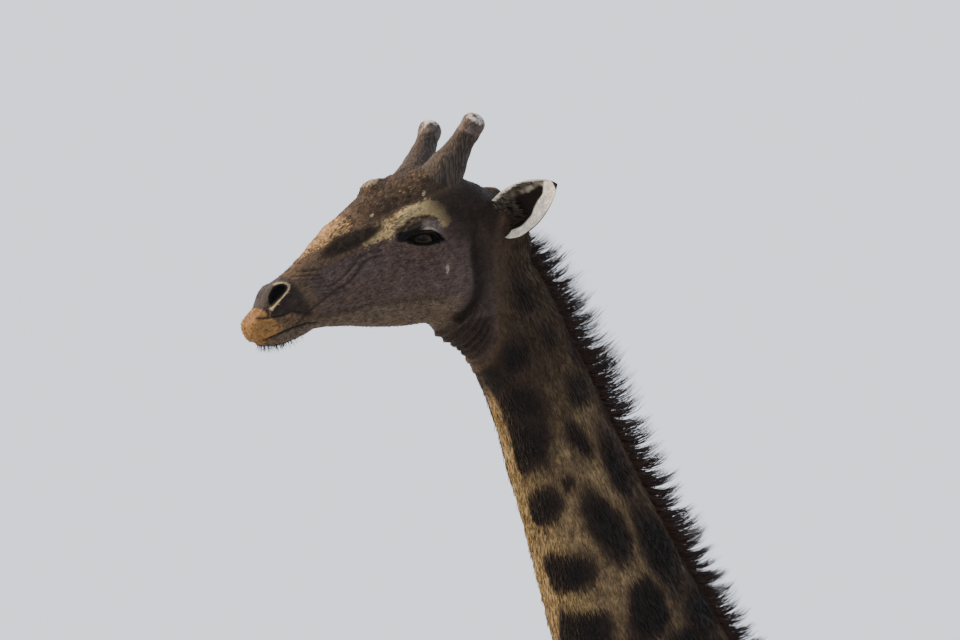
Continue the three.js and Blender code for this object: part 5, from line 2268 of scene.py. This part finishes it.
@dataclass(frozen=True)
class Hooves:
    """The eight claws of the cloven feet."""

    spread: float = 57.0
    rows: int = 30
    sides: int = 48

    def build(self, finish: Material) -> None:
        """Makes each claw.

        Args:
            finish: Its material.
        """
        for foot in Foot:
            for inward in (True, False):
                self.claw(foot, inward, finish)

    def claw(self, foot: Foot, inward: bool, finish: Material) -> None:
        """Makes one claw: flat below, with a steep toe and a rounded outer wall.

        Args:
            foot: The foot it belongs to.
            inward: Whether it is the claw on the inner side.
            finish: Its material.
        """
        reach = 1.0 if foot.is_fore else 0.93
        middle = foot.apart + (-1 if inward else 1) * self.spread
        z = np.concatenate([[0, 0.6, 2.2, 5, 9], np.linspace(14, 131, self.rows - 5)])
        under = np.interp(z, [0, 2.2, 9, 14], [-3.2, -1.2, -0.2, 0])
        toe = (np.interp(z, [0, 14, 80, 132], [172, 176, 136, 100]) + under) * reach
        heel = (np.interp(z, [0, 14, 80, 132], [-112, -114, -100, -74]) - under) * reach
        half = (np.interp(z, [0, 14, 80, 132], [53, 55, 47, 38]) + under) * reach
        theta = np.linspace(0, 2 * np.pi, self.sides, endpoint=False)
        c, s = np.cos(theta), np.sin(theta)
        centre = heel + 0.42 * (toe - heel)
        power = np.where(s > 0, 1.0, 2 / 2.6)
        up = np.sign(s) * np.abs(s) ** power
        across = np.sign(c) * np.abs(c) ** power
        v = centre[:, None] + np.where(up > 0, toe[:, None] - centre[:, None], centre[:, None] - heel[:, None]) * up
        y = foot.side * (middle + half[:, None] * across)
        x = foot.value[0] + foot.value[2] - v
        points = np.stack([x, y, np.broadcast_to(z[:, None], x.shape)], -1).reshape(-1, 3)
        centre_line = np.stack([foot.value[0] + foot.value[2] - centre, 0 * centre + foot.side * middle, z], 1)
        out = unit(points - np.repeat(centre_line, self.sides, 0))
        tall = points[:, 2]
        rings = 0.9 * noise(np.stack([0 * tall, 0 * tall, tall], 1) + noise_vectors(points, 50, 5) * 2, 7.5, 71)
        worn = -2.2 * ramp(26, 4, tall) * ramp(0.25, 0.8, noise(points, 17, 72))
        points = points + out * ((rings - 0.6 + worn) * ramp(0.5, 4, tall))[:, None]
        points[:, 2] = np.where(tall == 0, 0, points[:, 2])
        grid = np.arange(len(points)).reshape(len(z), self.sides)
        nxt = np.roll(grid, -1, axis=1)
        quad = np.stack([grid[:-1], grid[1:], nxt[1:], nxt[:-1]], -1).reshape(-1, 4)
        low, high = len(points), len(points) + 1
        caps = [
            np.stack([np.full(self.sides, low), grid[0], nxt[0]], 1),
            np.stack([np.full(self.sides, high), nxt[-1], grid[-1]], 1)
        ]
        triangles = np.concatenate([halved(quad), *caps])
        if foot.side > 0:
            triangles = triangles[:, ::-1]
        points = np.concatenate([points, [centre_line[0], centre_line[-1]]])
        name = f"{foot.node}_{'inner' if inward else 'outer'}"
        piece = make_object(f"{name}_claw", Surface(points, triangles), finish)
        attach(piece, "hoof", f"{name}_hoof")


# ---- mane and tail tuft
@dataclass(frozen=True)
class Mane:
    """The upright crest of bristles from the poll to the withers."""

    first: float = 150.0
    last: float = 2392.0
    heights: tuple[tuple[float, float], ...] = (
        (150, 58), (900, 64), (1500, 74), (1850, 90), (2100, 90), (2250, 84), (2392, 76)
    )
    clump: float = 12.5  # mean distance between the clumps that the bristles gather in
    count: int = 6000  # bristles in each half, half of them short

    def build(self, finish: Material) -> None:
        """Makes the lower and the upper half.

        Args:
            finish: Its material.
        """
        middle = self.first + 0.46 * (self.last - self.first)
        self.half("mane_lower", self.first, middle, SEED + 5, finish)
        self.half("mane_upper", middle, self.last, SEED + 6, finish)

    def half(self, name: str, first: float, last: float, seed: int, finish: Material) -> None:
        """Plants the bristles in clumps along a stretch of the crest.

        Args:
            name: Name of the piece.
            first: Where along the neck it starts.
            last: Where it ends.
            seed: Fixes the scatter.
            finish: Its material.
        """
        rng = np.random.default_rng(seed)
        s = rng.uniform(first, last, self.count)
        across = rng.normal(0, 6.0, self.count).clip(-13, 13)
        section = NECK.at(s)
        height = np.interp(s, *np.array(self.heights).T)
        height = height * np.clip((s - self.first + 60) / 180, 0.3, 1) * np.clip((self.last + 20 - s) / 60, 0.45, 1)
        drop = section["half"] * (1 - np.sqrt(np.clip(1 - (across / section["half"]) ** 2, 0, 1)))
        root = NECK_LINE.world(s, section["top"] - 9 - drop * 1.5, across)
        centres = np.cumsum(rng.uniform(0.45, 1.55, 400)) * self.clump + self.first - 40
        nearest_one = np.argmin(np.abs(s[:, None] - centres[None]), axis=1)
        lean = (
            (0.7 * noise(np.stack([s, 0 * s, 0 * s], 1), 90, 64) * 0.16)[:, None]
            + rng.normal(0, 0.05, len(centres))[nearest_one, None]
        )
        gather = rng.uniform(0.4, 0.95, len(centres))[nearest_one] * rng.uniform(0.5, 1.1, self.count)
        tall = rng.uniform(0.86, 1.1, len(centres))[nearest_one]
        down = -NECK_LINE.direction
        up = NECK_LINE.world(0, 1, 0) - NECK_LINE.world(0, 0, 0)
        side = np.array([0, 1.0, 0])
        short = rng.uniform(0, 1, self.count) < 0.5
        length = (
            (height + 9) * np.where(short, rng.uniform(0.25, 0.5, self.count), rng.uniform(0.66, 1.06, self.count))
            * tall * 1.42
        )
        pull = (s - centres[nearest_one]) * gather
        f = np.linspace(0, 1, 5)[None, :, None]
        start = unit(up + down * (0.85 + lean) + side * (across / 60)[:, None])
        bend = unit(
            up + down * (-0.15 + 1.6 * lean) + side * (across / 160)[:, None] + rng.normal(0, 0.06, (self.count, 3))
        )
        paths = root[:, None] + length[:, None, None] * (start[:, None] * f * (1 - f / 2) + bend[:, None] * f**2 / 2)
        paths = paths + (pull[:, None, None] * f**1.5 - 0.12 * length[:, None, None] * f**3) * down
        paths = paths + rng.normal(0, 1.2, (self.count, 1, 3)) * np.sin(f * np.pi)
        widths = np.array([1.2, 0.95, 0.7, 0.45])[None] * rng.uniform(0.6, 1.3, (self.count, 1))
        locks = Locks(paths, widths, np.broadcast_to(side, root.shape), 0.4)
        tall = locks.height()
        pale = locks.spread((rng.uniform(0, 1, self.count) > 0.86) * rng.uniform(0.3, 0.8, self.count))
        values = marks(ramp(0.05, 0.5, tall), pale * ramp(0.25, 0.8, tall))
        places = np.stack([0.5 + across / 60, (s - self.first) / (self.last - self.first)], 1)
        piece = make_object(name, locks.surface(), finish, {"lock": values}, locks.bake_map(places))
        attach(piece, "mane", "mane")


@dataclass
class EarHair:
    """Grizzled tufts that grow across the opening of each ear from its front edge."""

    count: int = 640

    def build(self, finish: Material) -> None:
        """Roots the tufts low on the inner face and lets them sweep outwards.

        Args:
            finish: Its material.
        """
        for side, name in SIDES:
            rng = np.random.default_rng(SEED + 80 + int(side))
            f, w = rng.uniform(0.0, 0.34, self.count), rng.uniform(-0.25, 0.97, self.count)
            f = np.where(rng.uniform(0, 1, self.count) < 0.2, rng.uniform(0.3, 0.72, self.count), f)
            w = np.where(f > 0.34, rng.uniform(0.8, 0.96, self.count), w)
            _, along, across, out = EAR.frame(side)
            root = EAR.sheet(side, f, w, -2.0 + 0 * f)
            length = rng.uniform(20, 42, self.count) * np.where(f > 0.34, 0.5, 1)
            sweep = unit(
                along * rng.normal(0.55, 0.22, (self.count, 1)) - across * (0.15 + 0.5 * w)[:, None] + out * 0.75
            )
            tips = unit(along * 0.9 - across * (0.5 + 0.4 * w)[:, None] + out * 0.15 + rng.normal(0, 0.1, root.shape))
            step = np.linspace(0, 1, 4)[None, :, None]
            bow = sweep[:, None] * step * (1 - step / 2) + tips[:, None] * step**2 / 2
            paths = root[:, None] + length[:, None, None] * bow
            widths = np.array([1.0, 0.9, 0.6])[None] * rng.uniform(0.7, 1.3, (self.count, 1))
            locks = Locks(paths, widths, np.broadcast_to(out, root.shape), 0.5)
            tone = locks.spread(rng.uniform(0, 1, self.count) ** 1.6 * ramp(-0.4, 0.8, w))
            tall = locks.height()
            values = marks(ramp(0, 0.6, tall), tone)
            piece = make_object(
                f"{name}_ear_hair", locks.surface(), finish, {"lock": values},
                locks.bake_map(np.stack([f, (w + 1) / 2], 1))
            )
            attach(piece, "ear")


@dataclass
class Whiskers:
    """Short dark bristles under the chin and on the lips."""

    skin: Skin
    count: int = 170

    def build(self, finish: Material) -> None:
        """Scatters them over the lower lip, closest together at the chin.

        Args:
            finish: Its material.
        """
        rng = np.random.default_rng(SEED + 90)
        points = self.skin.surface.points[: self.skin.body_count]
        t, v, y = HEAD_LINE.local(points)
        mouth = np.interp(t, *np.array(MOUTH_LINE).T)
        weight = (
            ramp(150, 60, t) * ramp(-4, -14, v - mouth) * (t > 4) * (np.abs(t) < 200) * (v > -120) * (np.abs(y) < 70)
        )
        weight = weight * (0.25 + ramp(30, 4, np.abs(y)))
        pick = rng.choice(len(points), self.count, p=weight / weight.sum())
        root, normal = points[pick], self.skin.normals[pick]
        length = rng.uniform(6, 21, self.count)
        lies = unit(normal + np.array([0.1, 0, -0.45]) + rng.normal(0, 0.18, root.shape))
        step = np.linspace(-0.1, 1, 4)[None, :, None]
        paths = root[:, None] + length[:, None, None] * lies[:, None] * step
        locks = Locks(paths, np.array([0.45, 0.4, 0.3])[None] * np.ones((self.count, 1)), lies[:, [1, 2, 0]], 0.8)
        tone = locks.spread(rng.uniform(0, 1, self.count) * 0.6)
        unwrap = np.stack([0.5 + y[pick] / 140, t[pick] / 200], 1)
        piece = make_object(
            "chin_whiskers", locks.surface(), finish, {"lock": one_mark(tone)}, locks.bake_map(unwrap)
        )
        attach(piece, "muzzle")


TAIL_TUFT = Sections((
    (860, -34, -52, 8, 0.5, 2, 2, 0), (940, -16, -76, 27, 0.5, 2, 2, 0), (1100, 0, -92, 44, 0.5, 2, 2, 0),
    (1320, -4, -92, 45, 0.5, 2, 2, 0), (1500, -20, -78, 30, 0.5, 2, 2, 0), (1620, -28, -68, 21, 0.5, 2, 2, 0),
))


@dataclass(frozen=True)
class TailTuft:
    """The long dark tuft that hangs from the end of the tail."""

    count: int = 2100

    def build(self, finish: Material) -> None:
        """Hangs the locks inside the outline of the tuft.

        Args:
            finish: Its material.
        """
        rng = np.random.default_rng(SEED + 9)
        theta = rng.uniform(0, 2 * np.pi, self.count)
        rho = np.sqrt(rng.uniform(0.02, 0.92, self.count))
        start = rng.uniform(1525, 1640, self.count)
        end = 868 + 400 * rng.uniform(0, 1, self.count) ** 1.9 + 60 * rho**4
        f = np.linspace(0, 1, 12)
        z = start[:, None] + (end - start)[:, None] * f[None]
        curve = TAIL_TUFT.at(z)
        middle, deep, wide = (curve["top"] + curve["bottom"]) / 2, (curve["top"] - curve["bottom"]) / 2, curve["half"]
        wave = rng.normal(0, 0.14, (self.count, 1)) * np.sin(f * 7 + rng.uniform(0, 6, (self.count, 1)))
        reach = np.clip(0.35 + 0.65 * ramp(0, 0.35, f)[None], 0, 1) * rho[:, None] + wave
        v = middle + deep * reach * np.sin(theta)[:, None]
        y = wide * reach * np.cos(theta)[:, None] * 0.96
        paths = TAIL_LINE.world(z, v, y)
        out = np.stack([-np.sin(theta), np.cos(theta), 0 * theta], 1)
        widths = np.interp(f[:-1], [0, 0.5, 1], [2.4, 2.6, 1.1])[None] * rng.uniform(0.7, 1.3, (self.count, 1))
        locks = Locks(paths, widths, out, 0.4)
        tall = locks.height()
        pale = locks.spread(rng.uniform(0, 0.35, self.count))
        values = marks(ramp(0, 0.6, tall), pale)
        places = np.stack([theta / (2 * np.pi), (start - 1500) / 150], 1)
        piece = make_object("tail_locks", locks.surface(), finish, {"lock": values}, locks.bake_map(places))
        attach(piece, "tail_tuft", "tail_tuft")


# ---- the short coat
@dataclass(frozen=True)
class Region:
    """One piece of the coat: where it grows, how many tufts it has and how long they are."""

    name: str
    slot: str
    count: int
    length: tuple[float, float]
    width: float
    lift: float
    holds: Callable[[Array], Array]
    unwrap: Callable[[Array], Array]


def around(line: Any, first: float, last: float, side: float = 0.0, level: float = 0.0) -> Callable[[Array], Array]:
    """An unwrap of a long part: the angle round its line, and the distance along it.

    Args:
        line: The line of the part.
        first: Distance that lies at the bottom of the map.
        last: Distance that lies at the top.
        side: How far sideways the middle of the part stands.
        level: How far across the line it stands.

    Returns:
        A function from points to places on the map.
    """

    def place(p: Array) -> Array:
        """Places on the map."""
        t, v, y = line.local(p)
        return np.stack([np.arctan2(y - side, v - level) / (2 * np.pi) + 0.5, (t - first) / (last - first)], 1)

    return place


def body_part(p: Array, part: str) -> Array:
    """Whether each point belongs to a part of the body.

    Args:
        p: Points of the skin.
        part: One of head, neck, leg and trunk.

    Returns:
        True or false for each point.
    """
    s = NECK_LINE.local(p)[0]
    head = (p[:, 0] < -985) & (p[:, 2] > 4520) & (s > 2000)
    neck = (s > 330) & ~head
    leg = (p[:, 2] < 1780) & ~neck
    return {"head": head, "neck": neck, "leg": leg, "trunk": ~head & ~neck & ~leg}[part]


def on_leg(foot: Foot, p: Array) -> Array:
    """Whether each point belongs to the leg over a foot."""
    return body_part(p, "leg") & (p[:, 1] * foot.side > 0) & ((p[:, 0] < 650) == foot.is_fore)


class Coat:
    """The short hair: tufts over the skin that lie along it and carry its markings."""

    def __init__(self, skin: Skin) -> None:
        """Divides the skin into the pieces of the coat.

        Args:
            skin: The skin that it grows on.
        """
        self.skin = skin
        self.regions = [
            Region("coat_head", "face_coat", 19000, (6, 11), 1.15, 0.6, lambda p: body_part(p, "head"),
                around(HEAD_LINE, 0, 800)),
            Region("coat_neck_left", "coat", 19500, (16, 28), 1.9, 1.7,
                lambda p: body_part(p, "neck") & (p[:, 1] < 0), around(NECK_LINE, 300, 2400)),
            Region("coat_neck_right", "coat", 14000, (17, 28), 2.2, 1.8,
                lambda p: body_part(p, "neck") & (p[:, 1] >= 0), around(NECK_LINE, 300, 2400)),
            Region("coat_trunk_left", "coat", 13500, (24, 38), 3.2, 3.0,
                lambda p: body_part(p, "trunk") & (p[:, 1] < 0), around(TRUNK_LINE, -450, 1700, level=2400)),
            Region("coat_trunk_right", "coat", 13500, (24, 38), 3.2, 3.0,
                lambda p: body_part(p, "trunk") & (p[:, 1] >= 0), around(TRUNK_LINE, -450, 1700, level=2400)),
        ]
        for foot in Foot:
            self.regions.append(
                Region(
                    f"coat_{foot.node}", "coat", 6000, (12, 24), 2.2, 1.8, partial(on_leg, foot),
                    around(foot.column, 90, 1800, foot.side * 170)
                )
            )

    def lie(self, p: Array, n: Array) -> Array:
        """The direction in which the hair lies at each point.

        Args:
            p: Points of the skin.
            n: Outward directions at the points.

        Returns:
            Unit vectors.
        """
        head = ramp(-985, -1045, p[:, 0])[:, None] * (p[:, 2] > 4400)[:, None]
        s, _, _ = NECK_LINE.local(p)
        neck = ramp(100, 420, s)[:, None] * (1 - head)
        leg = ramp(2200, 1700, p[:, 2])[:, None] * (1 - head)
        base = np.array([1.0, 0, -0.35])[None] * (1 - neck) * (1 - leg) * (1 - head)
        flow = (
            base + -NECK_LINE.direction * neck * (1 - leg) + np.array([0.12, 0, -1.0]) * leg
            + HEAD_LINE.direction * head
        )
        flow = flow + 0.22 * noise_vectors(p, 120, 81) + np.array([0, 0, -0.25]) * (1 - head)
        flow = flow - (flow * n).sum(1, keepdims=True) * n
        return unit(flow)

    def build(self, finishes: dict[str, Material]) -> None:
        """Makes every piece of the coat.

        Args:
            finishes: Materials by the slot of the piece.
        """
        surface, reading = self.skin.surface, self.skin.reading
        tri = surface.triangles[(surface.triangles < self.skin.body_count).all(1)]
        corners = [surface.points[tri[:, i]] for i in range(3)]
        middles = sum(corners) / 3
        areas = np.linalg.norm(np.cross(corners[1] - corners[0], corners[2] - corners[0]), axis=1)
        bare = sum(
            reading[name][:, k][tri].mean(1) for name,
            k in (("face_a", 1), ("face_a", 2), ("face_d", 2), ("face_b", 2))
        )
        eyes = EYE.inside(middles) > -7
        nearby = np.abs(middles[:, 1]) > 60
        on_head = middles[:, 0] < -985
        free = (1 - 0.9 * np.clip(bare, 0, 1)) * ~(eyes & nearby & on_head) * (middles[:, 2] > 112)
        for number, region in enumerate(self.regions):
            rng = np.random.default_rng(SEED + 100 + number)
            weight = areas * region.holds(middles) * free
            if region.slot != "face_coat" and "neck" in region.name:
                weight = weight * (0.55 + 0.9 * ramp(3600, 4100, middles[:, 2]))
            pick = rng.choice(len(tri), region.count, p=weight / weight.sum())
            share = rng.dirichlet((1, 1, 1), region.count)

            def blend(values: Array) -> Array:
                """Values of the mesh at the roots of the tufts."""
                return np.einsum("ij,ijk->ik", share, values[tri[pick]])

            roots, normals = blend(surface.points), unit(blend(self.skin.normals))
            length = rng.uniform(*region.length, region.count)
            small = ramp(140, 420, roots[:, 2]) * 0.45 + 0.55
            length = length * small
            width = region.width * rng.uniform(0.7, 1.3, region.count) * small
            flick = (
                region.lift * rng.uniform(0.1, 0.9, region.count)
                + (rng.uniform(0, 1, region.count) > 0.93) * region.lift * 0.9
            )
            lies = self.lie(roots, normals)
            lies = unit(lies + rng.normal(0, 0.13, lies.shape))
            made = tufts(roots, lies, normals, length, width, np.full(region.count, region.lift * 0.5), flick)
            colours = {name: made.spread(blend(values)) for name, values in reading.items()}
            piece = make_object(
                region.name, made.surface(), finishes[region.slot], colours, made.bake_map(region.unwrap(roots))
            )
            attach(piece, region.slot)


# ---- the studio
@dataclass(frozen=True)
class Studio:
    """Pale floor, soft light and a camera below the height of the head."""

    turn: float = 26.0  # of the view from straight across the body, in degrees
    rise: float = 3.3  # of the view above level
    distance: float = 20.0
    aim: tuple[float, float, float] = (-1.017, 0.0, 4.72)
    lens: float = 315.0

    def build(self) -> None:
        """Sets up floor, lights and camera."""
        psi, phi = math.radians(self.turn), math.radians(self.rise)
        forward = np.array([math.cos(phi) * math.sin(psi), math.cos(phi) * math.cos(psi), math.sin(phi)])
        camera = bpy.data.cameras.new("camera")
        camera.lens, camera.sensor_width, camera.clip_end = self.lens, 36.0, 200.0
        holder = self.place("camera", camera, np.array(self.aim) - self.distance * forward, forward)
        bpy.context.scene.camera = holder
        world = bpy.data.worlds.new("sky")
        world.use_nodes = True
        world.node_tree.nodes["Background"].inputs[0].default_value = linear("#d3d8e2")
        world.node_tree.nodes["Background"].inputs[1].default_value = 2.0
        bpy.context.scene.world = world
        self.lamp("key_light", (-9.0, 5.0, 11.0), 3.2, 3600.0, "#ffdcb2")
        self.lamp("fill_light", (-6.0, -12.0, 7.0), 7.0, 160.0, "#e8eefc")
        floor = bpy.data.meshes.new("floor")
        floor.from_pydata([(-60, -60, 0), (60, -60, 0), (60, 60, 0), (-60, 60, 0)], [], [(0, 1, 2, 3)])
        made, tree = new_material("pale_floor")
        place = add(tree, "ShaderNodeTexCoord", out="Object")
        cloud = add(tree, "ShaderNodeTexNoise", {"Vector": place, "Scale": 3.0, "Detail": 4.0})
        colour = add(tree, "ShaderNodeMix", {0: cloud, 6: linear("#c6c5c2"), 7: linear("#d2d1ce")}, **RGB)
        shader = add(tree, "ShaderNodeBsdfPrincipled", {"Base Color": colour, "Roughness": 0.8})
        add(tree, "ShaderNodeOutputMaterial", {0: shader})
        floor.materials.append(made)
        plane = bpy.data.objects.new("floor", floor)
        bpy.context.scene.collection.objects.link(plane)

    def place(self, name: str, data: Any, at: Array, forward: Array) -> Piece:
        """Puts a camera or lamp at a point, looking along a direction.

        Args:
            name: Name of the object.
            data: The camera or lamp.
            at: Where it stands.
            forward: The direction it looks in.

        Returns:
            The new object.
        """
        holder = bpy.data.objects.new(name, data)
        bpy.context.scene.collection.objects.link(holder)
        holder.location = Vector(at)
        holder.rotation_euler = Vector(forward).to_track_quat("-Z", "Y").to_euler()
        return holder

    def lamp(self, name: str, at: tuple[float, float, float], size: float, power: float, colour: str) -> None:
        """A square soft light that faces the head.

        Args:
            name: Name of the lamp.
            at: Where it stands.
            size: Width of the lamp in metres.
            power: Its power in watts.
            colour: Its colour, as an sRGB hex value.
        """
        light = bpy.data.lights.new(name, "AREA")
        light.size, light.energy, light.color = size, power, linear(colour)[:3]
        self.place(name, light, np.array(at), np.array(self.aim) - np.array(at))


def main() -> None:
    """Builds the animal piece by piece and then the studio round it."""
    logging.basicConfig(level=logging.INFO, format="%(message)s")
    Studio().build()
    skin = Skin(Flesh())
    skin.grow()
    hide = HairedHide("short_haired_hide").build()
    coat = HairedHide("short_coat", bump=0.0).build()
    skin.build(hide)
    bristle = LongHair("mane_bristle", "#3d281d", "#211815", "#6b5f57").build()
    ear_hair = LongHair("ear_hair", "#241f1a", "#332d26", "#7d7465").build()
    lash = LongHair("lash_hair", "#0d0b0a", "#0d0b0a", "#0d0b0a", 0.4).build()
    tail_hair = LongHair("tail_hair", "#1a1411", "#100d0c", "#3a2f27", 0.42).build()
    rim = LongHair("moist_lid_rim", "#0f0c0b", "#0f0c0b", "#0f0c0b", 0.3).build()
    Eyes(skin).build(WetEye().build(), rim, lash)
    Ossicones().build(HornSkin().build())
    Hooves().build(Keratin().build())
    EarHair().build(ear_hair)
    Whiskers(skin).build(lash)
    Mane().build(bristle)
    TailTuft().build(tail_hair)
    Coat(skin).build({"coat": coat, "face_coat": coat})


if __name__ == "__main__":
    main()
